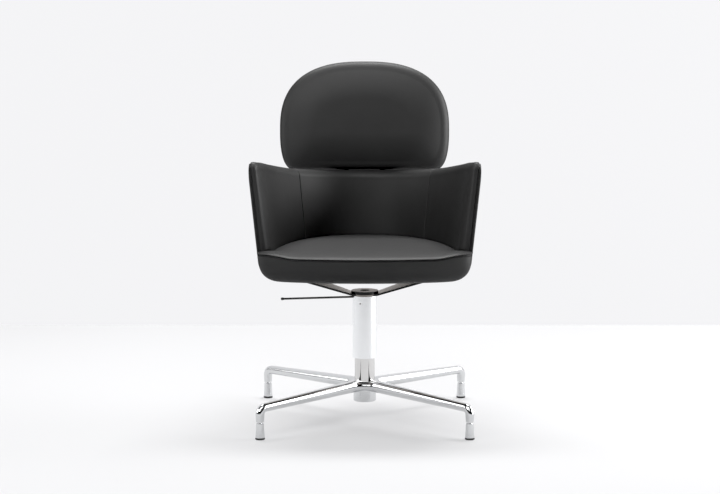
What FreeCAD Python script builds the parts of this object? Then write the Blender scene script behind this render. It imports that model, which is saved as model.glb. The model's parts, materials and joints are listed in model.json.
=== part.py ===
import FreeCAD, Part

import math
import os

import Sketcher

# An upholstered swivel armchair: a four-star base on levelling feet, a gas-lift column with its
# cover sleeve and height lever, a bucket of outer shell, three linings and a crowned seat cushion,
# and a D-shaped upper back pad on a flat steel upright. Millimetres, +Z up, the sitter faces -Y, and
# the origin is on the floor under the column's axis.

Vector = FreeCAD.Vector

SIZES = {
    # feet
    "foot_circle_radius": 354.0,
    "spoke_angle": 45.0,
    "glide_radius": 11.6,
    "glide_height": 4.0,
    "glide_chamfer": 1.0,
    "foot_bottom_radius": 11.2,
    "foot_top_radius": 9.2,
    "foot_height": 38.0,
    "foot_groove": 0.5,
    "foot_socket": 11.4,
    "foot_travel": 8.0,
    "stud_radius": 4.0,
    "stud_hold": 6.0,
    "stud_room": 1.0,
    # star base
    "hub_radius": 28.0,
    "hub_bottom": 44.5,
    "hub_top": 97.0,
    "spoke_root_top": 99.0,
    "spoke_root_height": 29.0,
    "spoke_root_width": 30.0,
    "spoke_tip_top": 86.0,
    "spoke_tip_height": 21.0,
    "spoke_tip_width": 20.0,
    "stub_radius": 9.2,
    "elbow_inner_radius": 4.5,
    # column and gas spring
    "tube_radius": 25.0,
    "tube_wall": 2.0,
    "tube_bottom": 52.0,
    "tube_floor": 4.0,
    "tube_top": 240.0,
    "bush_length": 40.0,
    "race_thickness": 2.0,
    "race_radius": 14.0,
    "race_gap": 0.3,
    "ball_radius": 2.0,
    "ball_circle_radius": 10.0,
    "ball_count": 10,
    "rod_radius": 5.0,
    "rod_neck_radius": 4.0,
    "rod_tail": 5.0,
    "clip_thickness": 1.2,
    "clip_radius": 8.0,
    "clip_gap": 0.3,
    "clip_room": 3.0,
    "buffer_radius": 12.0,
    "buffer_height": 18.0,
    "piston_bottom": 214.0,
    "piston_height": 12.0,
    "cylinder_radius": 14.0,
    "cylinder_wall": 2.0,
    "cylinder_bottom": 135.0,
    "cylinder_head": 18.0,
    "gland_height": 15.0,
    "button_radius": 4.0,
    "button_rise": 4.3,
    "button_depth": 8.0,
    "button_travel": 3.0,
    "button_room": 1.0,
    # cover sleeve, release head and lever
    "sleeve_radius": 30.0,
    "sleeve_wall": 3.0,
    "sleeve_bottom": 154.0,
    "sleeve_top": 309.0,
    "sleeve_bush_length": 12.0,
    "head_height": 24.0,
    "cavity_depth": 11.0,
    "cavity_width": 10.0,
    "grub_radius": 2.5,
    "grub_length": 8.0,
    "grub_drop": 17.0,
    "grub_angle": -111.4,
    "grub_recess": 0.4,
    "pivot_offset": 20.0,
    "pivot_drop": 4.0,
    "pivot_radius": 1.5,
    "pivot_length": 30.0,
    "lever_block_height": 4.8,
    "lever_block_width": 8.0,
    "lever_rod_radius": 2.5,
    "lever_reach": 200.0,
    "lever_droop": 1.7,
    "lever_tip_radius": 3.6,
    "lever_tip_neck": 0.9,
    "lever_cap_wall": 0.6,
    # wing plate under the seat
    "disc_radius": 33.5,
    "disc_foot_radius": 30.0,
    "disc_height": 12.5,
    "disc_taper": 5.0,
    "disc_hole_radius": 12.0,
    "disc_land": 8.0,
    "wing_thickness": 5.0,
    "wing_root_height": 1.5,
    "wing_root_half_depth": 24.0,
    "wing_end_half_depth": 56.0,
    "wing_flange_start": 160.0,
    "wing_flange_length": 23.0,
    "wing_screw_radius": 3.0,
    "wing_screw_head_radius": 5.25,
    "wing_screw_head_height": 3.3,
    "wing_screw_spacing": 76.0,
    "insert_radius": 5.0,
    "insert_length": 8.5,
    "bolt_end_gap": 2.0,
    # bucket walls
    "underside": 368.0,
    "seat_level": 436.0,
    "rim_back": 595.6,
    "rim_arm": 652.0,
    "rim_power": 2.0,
    "wall_half_width": 259.0,
    "wall_depth": 395.0,
    "wall_front": -150.0,
    "wall_corner_power": 2.15,
    "wall_overhang": 15.0,
    "wall_thickness": 33.0,
    "back_padding": 10.0,
    "shell_lean": 0.105,
    "lining_lean": 0.115,
    "shell_thickness": 9.5,
    "shell_corner_radius": 52.0,
    "shell_lip": 20.0,
    "shell_edge_roll": 4.0,
    "lining_roll": 5.5,
    "lining_inner_roll": 0.58,
    "lining_outer_roll": 0.36,
    "lining_foot_roll": 0.4,
    "lining_seam": 0.473,
    # seat
    "board_depth": 10.0,
    "board_front": -80.0,
    "pan_thickness": 9.0,
    "pan_margin": 5.0,
    "pan_nose": 48.0,
    "shell_bolt_radius": 2.5,
    "shell_bolt_reach": 12.0,
    "nose_reach": 250.0,
    "nose_radius": 770.0,
    "nose_land": 6.0,
    "band_inset": 1.0,
    "cushion_edge": 427.5,
    "cushion_crown": 12.5,
    "cushion_lip_room": 6.0,
    "cushion_ease": 1.2,
    "crown_inset": 3.0,
    "crown_front_inset": 2.0,
    # upper back pad
    "pad_half_width": 217.0,
    "pad_upper_height": 176.0,
    "pad_lower_height": 99.0,
    "pad_top_power": 2.55,
    "pad_bottom_power": 2.4,
    "pad_bottom_flatness": 16.0,
    "pad_front_depth": 30.0,
    "pad_rear_depth": 34.0,
    "pad_edge_radius": 26.0,
    "pad_lift": 1.4,
    "pad_board_thickness": 9.0,
    "pad_board_margin": 16.0,
    "upright_width": 80.0,
    "upright_thickness": 5.0,
    "upright_below_rim": 110.0,
    "upright_above_rim": 150.0,
    "upright_screw_radius": 2.5,
    "upright_screw_length": 11.0,
    "upright_screw_margin": 16.0,
    # fits
    "running_clearance": 0.05,
    "press_clearance": 0.02,
    "soft_clearance": 0.4,
}


class Size:
    """A number of the sheet, or sums on such numbers, with the expression that gives it."""

    def __init__(self, number, text):
        self.number = number
        self.text = text

    def __float__(self):
        return float(self.number)

    def __add__(self, other):
        return Size(float(self) + float(other), "(%s + %s)" % (self.text, words(other)))

    def __radd__(self, other):
        return Size(float(other) + float(self), "(%s + %s)" % (words(other), self.text))

    def __sub__(self, other):
        return Size(float(self) - float(other), "(%s - %s)" % (self.text, words(other)))

    def __rsub__(self, other):
        return Size(float(other) - float(self), "(%s - %s)" % (words(other), self.text))

    def __mul__(self, other):
        return Size(float(self) * float(other), "(%s * %s)" % (self.text, words(other)))

    def __rmul__(self, other):
        return Size(float(other) * float(self), "(%s * %s)" % (words(other), self.text))

    def __truediv__(self, other):
        return Size(float(self) / float(other), "(%s / %s)" % (self.text, words(other)))

    def __neg__(self):
        return Size(-float(self), "(0 - %s)" % self.text)


def words(value):
    """The expression text of a size or of a plain number."""
    return value.text if isinstance(value, Size) else repr(float(value))


def cosine(angle):
    """Cosine of a size in degrees."""
    return Size(math.cos(math.radians(float(angle))), "cos(%s)" % words(angle))


def sine(angle):
    """Sine of a size in degrees."""
    return Size(math.sin(math.radians(float(angle))), "sin(%s)" % words(angle))


class Sheet:
    """The driving dimensions, each an aliased cell of the document's spreadsheet."""

    def __init__(self, doc):
        self.cells = doc.addObject("Spreadsheet::Sheet", "Sizes")
        for row, (alias, number) in enumerate(SIZES.items(), start=1):
            self.cells.set("A%d" % row, alias.replace("_", " "))
            self.cells.set("B%d" % row, str(number))
            self.cells.setAlias("B%d" % row, alias)
        doc.recompute()

    def __getattr__(self, alias):
        return Size(float(self.cells.get(alias)), "Sizes." + alias)


doc = FreeCAD.newDocument("Armchair")
s = Sheet(doc)
pieces = {}


def piece(label, obj):
    """Names an object as a sub-part to be written out."""
    obj.Label = label
    pieces[label] = obj
    return obj


def bind(obj, **sizes):
    """Binds properties to expressions; an underscore pair stands for a dot."""
    for name, size in sizes.items():
        obj.setExpression(name.replace("__", "."), words(size))


def cylinder(name, radius, height, z=0.0, x=0.0, y=0.0):
    """A bound cylinder that stands along Z."""
    obj = doc.addObject("Part::Cylinder", name)
    bind(obj, Radius=radius, Height=height)
    bind(obj, Placement__Base__x=x, Placement__Base__y=y, Placement__Base__z=z)
    return obj


def box(name, length, width, height, x, y, z):
    """A bound box from its low corner."""
    obj = doc.addObject("Part::Box", name)
    bind(obj, Length=length, Width=width, Height=height)
    bind(obj, Placement__Base__x=x, Placement__Base__y=y, Placement__Base__z=z)
    return obj


def cut(name, base, *tools):
    """The base with each tool taken away in turn."""
    for index, tool in enumerate(tools):
        result = doc.addObject("Part::Cut", "%s_cut_%d" % (name, index))
        result.Base = base
        result.Tool = tool
        base = result
    return base


def fuse(name, base, tool):
    """Two objects as one solid."""
    result = doc.addObject("Part::Fuse", name)
    result.Base = base
    result.Tool = tool
    return result


def group(label, members):
    """A sub-part of several like solids."""
    obj = doc.addObject("Part::Compound", label)
    obj.Links = members
    return piece(label, obj)


def feature(label, shape):
    """A sub-part whose shape is worked out with the geometry kernel's own functions."""
    obj = doc.addObject("Part::Feature", label)
    obj.Shape = shape
    return piece(label, obj)


def body_plane(body, role):
    """One of a body's own origin planes."""
    return next(f for f in body.Origin.OriginFeatures if f.Role == role)


def profile(body, name, role, points):
    """A closed sketch of straight lines whose corners are bound to sizes."""
    sketch = body.newObject("Sketcher::SketchObject", name)
    sketch.AttachmentSupport = (body_plane(body, role), [""])
    sketch.MapMode = "FlatFace"
    corners = [Vector(float(u), float(v), 0) for u, v in points]
    count = len(corners)
    for i in range(count):
        sketch.addGeometry(Part.LineSegment(corners[i], corners[(i + 1) % count]), False)
    for i in range(count):
        sketch.addConstraint(Sketcher.Constraint("Coincident", i, 2, (i + 1) % count, 1))
    for i, (u, v) in enumerate(points):
        for kind, value, axis in (("DistanceX", u, -2), ("DistanceY", v, -1)):
            if float(value) == 0:
                sketch.addConstraint(Sketcher.Constraint("PointOnObject", i, 1, axis))
                continue
            index = sketch.addConstraint(
                Sketcher.Constraint(kind, -1, 1, i, 1, float(value)))
            if isinstance(value, Size):
                sketch.setExpression("Constraints[%d]" % index, value.text)
    return sketch


def turned(label, points):
    """A body turned about its own Z axis from radius and height pairs."""
    body = doc.addObject("PartDesign::Body", label)
    sketch = profile(body, label + "_profile", "XZ_Plane", points)
    turn = body.newObject("PartDesign::Revolution", label + "_turn")
    turn.Profile = sketch
    turn.ReferenceAxis = (sketch, ["V_Axis"])
    turn.Angle = 360
    return piece(label, body)


def ring(label, inner, outer, low, high):
    """A turned ring, or a disc where the inner radius is 0."""
    return turned(label, [(inner, low), (outer, low), (outer, high), (inner, high)])


def place(body, x, y):
    """Stands a body at a bound place on the floor plan."""
    bind(body, Placement__Base__x=x, Placement__Base__y=y)


# Feet, from the floor up, then the levels that the column takes from them
stub_bottom = s.glide_height + s.foot_height + s.foot_groove
stud_top = stub_bottom + s.foot_travel + s.stud_hold
FEET = {"back_right": 0, "back_left": 90, "front_left": 180, "front_right": 270}


def make_foot(corner, turn):
    """One levelling foot: a dark glide, a tapered polished cup and its threaded stud."""
    cup_top = s.glide_height + s.foot_height
    socket = cup_top - s.foot_socket
    glide = turned("glide_" + corner, [
        (0, 0), (s.glide_radius - s.glide_chamfer, 0), (s.glide_radius, s.glide_chamfer),
        (s.glide_radius, s.glide_height), (0, s.glide_height)])
    cup = turned("foot_" + corner, [
        (0, s.glide_height), (s.foot_bottom_radius, s.glide_height), (s.foot_top_radius, cup_top),
        (s.stud_radius + s.press_clearance, cup_top),
        (s.stud_radius + s.press_clearance, socket), (0, socket)])
    stud = ring("stud_" + corner, 0, s.stud_radius, socket, stud_top)
    angle = s.spoke_angle + turn
    for body in (glide, cup, stud):
        place(body, s.foot_circle_radius * cosine(angle), s.foot_circle_radius * sine(angle))


def oval(centre, along, width, height):
    """An upright oval section square to a direction in the vertical plane through +X."""
    across = Vector(0, 1, 0)
    up = along.cross(across)
    stretch = FreeCAD.Matrix(
        across.x * width / 2, up.x * height / 2, along.x, centre.x,
        across.y * width / 2, up.y * height / 2, along.y, centre.y,
        across.z * width / 2, up.z * height / 2, along.z, centre.z,
        0, 0, 0, 1)
    return Part.Wire(Part.Circle().toShape().transformGeometry(stretch))


def spoke():
    """One arm of the star along +X: an oval bar, its elbow and the round stub over the foot."""
    tip_h, tip_w = float(s.spoke_tip_height), float(s.spoke_tip_width)
    root_h, root_w = float(s.spoke_root_height), float(s.spoke_root_width)
    tip_z = float(s.spoke_tip_top) - tip_h / 2
    bend = tip_h / 2 + float(s.elbow_inner_radius)
    reach = float(s.foot_circle_radius)
    root = Vector(float(s.hub_radius) / 2, 0, float(s.spoke_root_top) - root_h / 2)
    tip = Vector(reach - bend, 0, tip_z)
    foot = Vector(reach, 0, tip_z - bend)
    out, down = Vector(1, 0, 0), Vector(0, 0, -1)
    tip_wire = oval(tip, out, tip_w, tip_h)
    bar = Part.makeLoft([oval(root, out, root_w, root_h), tip_wire], True, True, False)
    elbow = Part.Face(tip_wire).revolve(tip - Vector(0, 0, bend), Vector(0, 1, 0), 90)
    stub_end = Vector(reach, 0, float(stub_bottom))
    width = float(s.stub_radius) * 2
    stub = Part.makeLoft([oval(foot, down, tip_w, tip_h), oval(stub_end, down, width, width)],
                         True, True, False)
    return bar.multiFuse([elbow, stub])


def make_base_star():
    """The die-cast star: hub and four spokes in one piece, bored for the column and the studs."""
    hub = Part.makeCylinder(float(s.hub_radius), float(s.hub_top - s.hub_bottom),
                            Vector(0, 0, float(s.hub_bottom)))
    bar = spoke()
    turns = [float(s.spoke_angle + turn) for turn in FEET.values()]
    arms = [bar.rotated(Vector(), Vector(0, 0, 1), turn) for turn in turns]
    star = hub.multiFuse(arms)
    bore = float(s.tube_radius + s.press_clearance)
    star = star.cut(Part.makeCylinder(bore, float(s.tube_top), Vector(0, 0, float(s.tube_bottom))))
    throat = float(s.clip_radius + s.clip_room)
    star = star.cut(Part.makeCylinder(throat, float(s.tube_bottom)))
    reach = float(s.foot_circle_radius)
    hole = float(s.stud_radius + s.running_clearance)
    depth = float(stud_top + s.stud_room - stub_bottom)
    for turn in turns:
        angle = math.radians(turn)
        foot = Vector(reach * math.cos(angle), reach * math.sin(angle), float(stub_bottom))
        star = star.cut(Part.makeCylinder(hole, depth, foot))
    return feature("base_star", star.removeSplitter())


# Column levels: the bearing stands on the tube's floor, the rod's shoulder on the bearing
floor_top = s.tube_bottom + s.tube_floor
ball_low = floor_top + s.race_thickness
race_low = ball_low + s.ball_radius * 2 + s.race_gap
shoulder = race_low + s.race_thickness
rod_hole = s.rod_neck_radius + s.running_clearance


def make_column():
    """The fixed half of the column: tube, guide bush, and the lower half of the thrust bearing."""
    bore = s.tube_radius - s.tube_wall
    turned("column_tube", [
        (rod_hole, s.tube_bottom), (s.tube_radius, s.tube_bottom), (s.tube_radius, s.tube_top),
        (bore, s.tube_top), (bore, floor_top), (rod_hole, floor_top)])
    ring("guide_bush", s.cylinder_radius + s.running_clearance, bore - s.press_clearance,
         s.tube_top - s.bush_length, s.tube_top)
    ring("bearing_lower_race", rod_hole, s.race_radius, floor_top, ball_low)
    ball = Part.makeSphere(float(s.ball_radius),
                           Vector(float(s.ball_circle_radius), 0, float(ball_low + s.ball_radius)))
    count = round(float(s.ball_count))
    balls = [ball.rotated(Vector(), Vector(0, 0, 1), 360.0 * i / count) for i in range(count)]
    feature("bearing_balls", Part.makeCompound(balls))


def make_spindle():
    """What turns in the column but doesn't rise: rod, piston, upper race, buffer and clip."""
    ring("bearing_upper_race", rod_hole, s.race_radius, race_low, shoulder)
    rod_top = s.piston_bottom + s.piston_height
    turned("piston_rod", [
        (0, s.tube_bottom - s.rod_tail), (s.rod_neck_radius, s.tube_bottom - s.rod_tail),
        (s.rod_neck_radius, shoulder), (s.rod_radius, shoulder), (s.rod_radius, rod_top),
        (0, rod_top)])
    seat = s.rod_radius + s.press_clearance
    ring("buffer", seat, s.buffer_radius, shoulder, shoulder + s.buffer_height)
    ring("piston", seat, s.cylinder_radius - s.cylinder_wall - s.running_clearance,
         s.piston_bottom, rod_top)
    clip_top = s.tube_bottom - s.clip_gap
    ring("rod_clip", s.rod_neck_radius + s.press_clearance, s.clip_radius,
         clip_top - s.clip_thickness, clip_top)


head_bottom = s.sleeve_top - s.head_height
cylinder_top = s.sleeve_top - s.cavity_depth
button_top = cylinder_top + s.button_rise
pivot_z = s.sleeve_top - s.pivot_drop


def radial_bar(name, radius, length, start):
    """A round bar that points out of the sleeve where the grub screw shows, from a start radius."""
    obj = cylinder(name, radius, length, s.sleeve_top - s.grub_drop,
                   start * cosine(s.grub_angle), start * sine(s.grub_angle))
    turn = FreeCAD.Rotation(Vector(0, 0, 1), float(s.grub_angle))
    lay = FreeCAD.Rotation(Vector(0, 1, 0), 90)
    obj.Placement.Rotation = turn.multiply(lay)
    return obj


def grub_hole(name):
    """The screw hole through sleeve and head."""
    return radial_bar(name, s.grub_radius + s.press_clearance, s.sleeve_radius, 0.0)


def cross_bar(name, radius, length, x):
    """A round bar across the chair at the lever's level, centred on the middle plane."""
    obj = cylinder(name, radius, length, pivot_z, x, length / 2)
    obj.Placement.Rotation = FreeCAD.Rotation(Vector(1, 0, 0), 90)
    return obj


def make_lift():
    """What rises with the seat: gas cylinder, gland, cover sleeve, its bush and the head."""
    bore = s.cylinder_radius - s.cylinder_wall
    button_hole = s.button_radius + s.running_clearance
    button_floor = cylinder_top - s.button_depth - s.button_travel - s.button_room
    ceiling = cylinder_top - s.cylinder_head
    turned("gas_cylinder", [
        (bore, s.cylinder_bottom), (s.cylinder_radius, s.cylinder_bottom),
        (s.cylinder_radius, cylinder_top), (button_hole, cylinder_top),
        (button_hole, button_floor), (0, button_floor), (0, ceiling), (bore, ceiling)])
    ring("cylinder_gland", s.rod_radius + s.running_clearance, bore - s.press_clearance,
         s.cylinder_bottom, s.cylinder_bottom + s.gland_height)
    ring("valve_button", 0, s.button_radius, cylinder_top - s.button_depth, button_top)

    sleeve_bore = s.sleeve_radius - s.sleeve_wall
    wall = cylinder("sleeve_outside", s.sleeve_radius, s.sleeve_top - s.sleeve_bottom,
                    s.sleeve_bottom)
    inside = cylinder("sleeve_inside", sleeve_bore, s.sleeve_top, 0.0)
    slot = box("sleeve_slot", s.sleeve_radius, s.cavity_width, s.cavity_depth,
               -s.sleeve_radius, -s.cavity_width / 2, s.sleeve_top - s.cavity_depth)
    piece("cover_sleeve", cut("sleeve", wall, inside, slot, grub_hole("sleeve_grub_hole")))
    ring("sleeve_bush", s.tube_radius + s.running_clearance, sleeve_bore - s.press_clearance,
         s.sleeve_bottom, s.sleeve_bottom + s.sleeve_bush_length)

    block = cylinder("head_block", sleeve_bore - s.press_clearance, s.head_height, head_bottom)
    taper = cylinder("head_bore", s.cylinder_radius + s.press_clearance,
                     s.head_height - s.cavity_depth, head_bottom)
    cavity = box("head_cavity", s.sleeve_radius + s.button_radius * 2, s.cavity_width,
                 s.cavity_depth, -s.sleeve_radius, -s.cavity_width / 2, cylinder_top)
    pin_hole = cross_bar("head_pin_hole", s.pivot_radius + s.press_clearance, s.pivot_length,
                         -s.pivot_offset)
    piece("release_head", cut("head", block, taper, cavity, pin_hole, grub_hole("head_grub_hole")))
    piece("lever_pivot_pin", cross_bar("pivot_pin", s.pivot_radius, s.pivot_length,
                                       -s.pivot_offset))
    piece("sleeve_screw", radial_bar("grub_screw", s.grub_radius, s.grub_length,
                                     s.sleeve_radius - s.grub_recess - s.grub_length))


def make_lever():
    """The height lever: a block on the pin with its nose over the button, a rod and its tip."""
    rear = s.sleeve_radius - s.sleeve_wall
    width, height = s.lever_block_width, s.lever_block_height
    bar = box("lever_bar", rear, width, height, -rear, -width / 2, pivot_z - height / 2)
    nose = cross_bar("lever_nose", height / 2, width, 0.0)
    hole = cross_bar("lever_hole", s.pivot_radius + s.running_clearance, width, -s.pivot_offset)
    piece("lever_block", cut("lever", fuse("lever_bar_and_nose", bar, nose), hole))

    root_x = rear + s.running_clearance * 2
    length = s.lever_reach - rear
    rod = cylinder("rod", s.lever_rod_radius, length, pivot_z, -root_x)
    rod.Placement.Rotation = FreeCAD.Rotation(Vector(0, 1, 0), -90 - float(s.lever_droop))
    piece("lever_rod", rod)

    cap_length = s.lever_tip_radius + s.lever_tip_neck
    droop_x, droop_z = cosine(s.lever_droop), sine(s.lever_droop)
    cap = cylinder("tip_cap", s.lever_rod_radius + s.lever_cap_wall, cap_length,
                   pivot_z - length * droop_z, -root_x - length * droop_x)
    cap.Placement.Rotation = rod.Placement.Rotation
    ball = doc.addObject("Part::Sphere", "tip_ball")
    bind(ball, Radius=s.lever_tip_radius,
         Placement__Base__x=-root_x - (length + cap_length) * droop_x,
         Placement__Base__z=pivot_z - (length + cap_length) * droop_z)
    piece("lever_tip", fuse("tip", cap, ball))


board_low = s.underside - s.board_depth
wing_top = s.sleeve_top + s.wing_root_height + s.wing_thickness


def wing_screw_points():
    """The four screw axes through the wings' flanges, as places on the floor plan."""
    out = s.wing_flange_start + s.wing_flange_length / 2
    half = s.wing_screw_spacing / 2
    return [(side * out, depth * half) for side in (-1, 1) for depth in (-1, 1)]


def wing_screw_holes(radius, length, z):
    """Holes on those axes."""
    return Part.makeCompound([
        Part.makeCylinder(float(radius), float(length), Vector(float(x), float(y), float(z)))
        for x, y in wing_screw_points()])


def wing():
    """The right wing: a plate that slopes up from the disc, widens, and ends in a flat flange."""
    root = float(s.disc_hole_radius + s.disc_land)
    end = float(s.wing_flange_start + s.wing_flange_length)
    foot, start = float(s.disc_foot_radius), float(s.wing_flange_start)
    thick, low, high = float(s.wing_thickness), float(wing_top), float(board_low)
    upper = [(root, low), (foot, low), (start, high), (end, high)]
    side = [Vector(x, 0, z) for x, z in upper]
    side += [Vector(x, 0, z - thick) for x, z in reversed(upper)]
    near, far = float(s.wing_root_half_depth), float(s.wing_end_half_depth)
    plan_view = [Vector(root, -near, 0), Vector(foot, -near, 0), Vector(start, -far, 0),
                 Vector(end, -far, 0), Vector(end, far, 0), Vector(start, far, 0),
                 Vector(foot, near, 0), Vector(root, near, 0)]
    plate = Part.Face(Part.makePolygon(side + side[:1])).extrude(Vector(0, 2 * far, 0))
    plate.translate(Vector(0, -far, 0))
    trim = Part.Face(Part.makePolygon(plan_view + plan_view[:1])).extrude(Vector(0, 0, 2 * high))
    return plate.common(trim)


def make_wing_plate():
    """The pressed steel plate that carries the seat: a disc on the sleeve with two wings."""
    low, foot = float(s.sleeve_top), float(s.disc_foot_radius)
    rim_low, rim_high = low + float(s.disc_taper), low + float(s.disc_height)
    edge, hole = float(s.disc_radius), float(s.disc_hole_radius)
    outline = [(hole, low), (foot, low), (edge, rim_low), (edge, rim_high), (hole, rim_high)]
    points = [Vector(r, 0, z) for r, z in outline]
    disc = Part.Face(Part.makePolygon(points + points[:1])).revolve(
        Vector(), Vector(0, 0, 1), 360)
    right = wing()
    left = right.rotated(Vector(), Vector(0, 0, 1), 180)
    plate = disc.multiFuse([right, left])
    holes = wing_screw_holes(s.wing_screw_radius + s.press_clearance, s.wing_thickness,
                             board_low - s.wing_thickness)
    feature("wing_plate", plate.cut(holes).removeSplitter())


# Sections along the walls, and the turns at which a rolled front edge is sampled
SHELL_STATIONS = 25
SIDE_STATIONS = 9
BACK_STATIONS = 13
ROLL_TURNS = (30, 55, 75)


# The bucket's plan: half a superellipse, with place -1 at the left arm's front, 0 at the back
# and 1 at the right arm's front. Sections stand upright across it, as distance and height pairs.
def plan(place_on_wall):
    """A point of the wall's outer face at seat level, and the outward direction there."""
    angle = place_on_wall * math.pi / 2
    power = float(s.wall_corner_power)
    side, back = float(s.wall_half_width), float(s.wall_depth)
    sine, cosine = abs(math.sin(angle)), max(math.cos(angle), 0.0)
    across = math.copysign(sine ** (2 / power), angle)
    along = cosine ** (2 / power)
    point = Vector(side * across, float(s.wall_front) + back * along, 0)
    normal = Vector(math.copysign(abs(across) ** (power - 1), angle) / side,
                    along ** (power - 1) / back, 0)
    return point, normal.normalize()


def rim(place_on_wall):
    """Height of the wall's top edge, lowest at the back and rising into the arms."""
    rise = float(s.rim_arm - s.rim_back)
    return float(s.rim_back) + rise * abs(place_on_wall) ** float(s.rim_power)


def section_wire(edges, point, normal):
    """Sets a section of distance and height pairs up on the wall."""
    def stand(pair):
        return point + normal * pair[0] + Vector(0, 0, pair[1])
    shapes = []
    for edge in edges:
        ends = [stand(pair) for pair in edge]
        curve = Part.LineSegment(*ends) if len(ends) == 2 else Part.Arc(*ends)
        shapes.append(curve.toShape())
    return Part.Wire(shapes)


def quarter(start, corner, end):
    """An arc that rounds a corner between two points, by its middle point."""
    blend = 1 - math.sqrt(0.5)
    middle = tuple((a + b) * blend + c * (1 - 2 * blend) for a, b, c in zip(start, end, corner))
    return (start, middle, end)


def padding(place_on_wall):
    """How much thicker the lining is here than at the arms' fronts."""
    return float(s.back_padding) * (1 - place_on_wall ** 2)


def shell_section(place_on_wall, inset):
    """The outer shell's J: a leaning wall with a round rim, a corner and a flat lip below."""
    lean, thick = float(s.shell_lean), float(s.shell_thickness) - 2 * inset
    level, low = float(s.seat_level), float(s.underside) + inset
    radius = float(s.shell_corner_radius) - inset
    tilt = math.atan(lean)
    centre_z = low + radius
    centre_d = lean * (centre_z - radius * math.sin(tilt) - level) - inset - radius * math.cos(tilt)

    def face(distance, z):
        return (lean * (z - level) - distance, z)

    def corner_arc(size):
        stops = (0.0, (math.pi / 2 - tilt) / 2, math.pi / 2 - tilt)
        return tuple((centre_d + size * math.sin(a), centre_z - size * math.cos(a))
                     for a in stops)

    outer_arc = corner_arc(radius)
    inner_arc = corner_arc(radius - thick)
    half = thick / 2
    top = rim(place_on_wall) - inset
    outer_top, inner_top = face(inset, top - half), face(inset + thick, top - half)
    peak = face(inset + half, top)
    lip = float(s.shell_lip)
    lip_low, lip_high = (centre_d - lip, low), (centre_d - lip, low + thick)
    return [
        (lip_low, outer_arc[0]), outer_arc, (outer_arc[2], outer_top),
        quarter(outer_top, face(inset, top), peak),
        quarter(peak, face(inset + thick, top), inner_top),
        (inner_top, inner_arc[2]), tuple(reversed(inner_arc)), (inner_arc[0], lip_high),
        (lip_high, lip_low)]


def lining_section(place_on_wall, inset):
    """A lining: a padded slab on the shell's inside, rolled over at the top."""
    level = float(s.seat_level)
    low = float(s.cushion_edge + s.soft_clearance)
    top = rim(place_on_wall) - inset
    wall = float(s.wall_thickness) + padding(place_on_wall)

    def outside(z):
        back = float(s.shell_thickness + s.soft_clearance) + inset
        return (float(s.shell_lean) * (z - level) - back, z)

    def inside(z):
        return (float(s.lining_lean) * (z - level) - wall + inset, z)

    thick = outside(top)[0] - inside(top)[0]
    roll, edge = thick * float(s.lining_inner_roll), thick * float(s.lining_outer_roll)
    foot = thick * float(s.lining_foot_roll)
    crest_in = (inside(top)[0] + roll, top)
    crest_out = (outside(top)[0] - edge, top)
    sole_in = (inside(low)[0] + foot, low)
    return [
        (sole_in, outside(low)), (outside(low), outside(top - edge)),
        quarter(outside(top - edge), outside(top), crest_out),
        (crest_out, crest_in),
        quarter(crest_in, inside(top), inside(top - roll)),
        (inside(top - roll), inside(low + foot)),
        quarter(inside(low + foot), inside(low), sole_in)]


def wall_wires(section, stations):
    """The upright sections of a wall at places along it, each with how far ahead and inset."""
    wires = []
    for place_on_wall, ahead, inset in stations:
        point, normal = plan(place_on_wall)
        shifted = point - Vector(0, ahead, 0)
        wires.append(section_wire(section(place_on_wall, inset), shifted, normal))
    return wires


def wall_loft(section, first, last, count):
    """A wall from one place to another along the plan."""
    steps = [first + (last - first) * i / (count - 1) for i in range(count)]
    return Part.makeLoft(wall_wires(section, [(step, 0, 0) for step in steps]), True, False, False)


def arm_front(section, side, roll):
    """The front of an arm: straight past the plan's end, then rolled over."""
    stations = [(side, 0, 0), (side, float(s.wall_overhang) - roll, 0)]
    for turn in ROLL_TURNS:
        angle = math.radians(turn)
        ahead = float(s.wall_overhang) - roll + roll * math.sin(angle)
        stations.append((side, ahead, roll * (1 - math.cos(angle))))
    return Part.makeLoft(wall_wires(section, stations), True, True, False)


def front_corners():
    """What is cut from the shell's two lower front corners so that they turn under with the band."""
    half, corner = float(s.wall_half_width), float(s.shell_corner_radius)
    low, front = float(s.underside), float(s.wall_front - s.wall_overhang)
    start = Vector(-half, front, low + corner)
    end = Vector(-half, front + corner, low)
    centre = Vector(-half, front + corner, low + corner)
    middle = centre + (start + end - centre * 2).normalize() * corner
    ahead = Vector(-half, front - corner, low + corner)
    below = Vector(-half, front - corner, low - corner)
    under = Vector(-half, front + corner, low - corner)
    edges = [Part.Arc(start, middle, end).toShape()]
    loop = (end, under, below, ahead, start)
    edges += [Part.LineSegment(a, b).toShape() for a, b in zip(loop, loop[1:])]
    return Part.Face(Part.Wire(edges)).extrude(Vector(2 * half, 0, 0))


def make_walls():
    """The outer shell and the three linings that meet at the two upright seams."""
    seam, roll = float(s.lining_seam), float(s.lining_roll)
    edge = float(s.shell_edge_roll)
    fronts = [arm_front(shell_section, side, edge) for side in (-1, 1)]
    shell = wall_loft(shell_section, -1, 1, SHELL_STATIONS).multiFuse(fronts)
    feature("outer_shell", shell.cut(front_corners()))
    left = wall_loft(lining_section, -1, -seam, SIDE_STATIONS)
    feature("lining_left", left.fuse(arm_front(lining_section, -1, roll)))
    right = wall_loft(lining_section, seam, 1, SIDE_STATIONS)
    feature("lining_right", right.fuse(arm_front(lining_section, 1, roll)))
    back = wall_loft(lining_section, -seam, seam, BACK_STATIONS)
    feature("lining_back", back.cut(upright_room()))


OUTLINE_STOPS = (-1, -0.75, -0.5, -0.25, 0, 0.25, 0.5, 0.75, 1)
HALVINGS = 40


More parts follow.
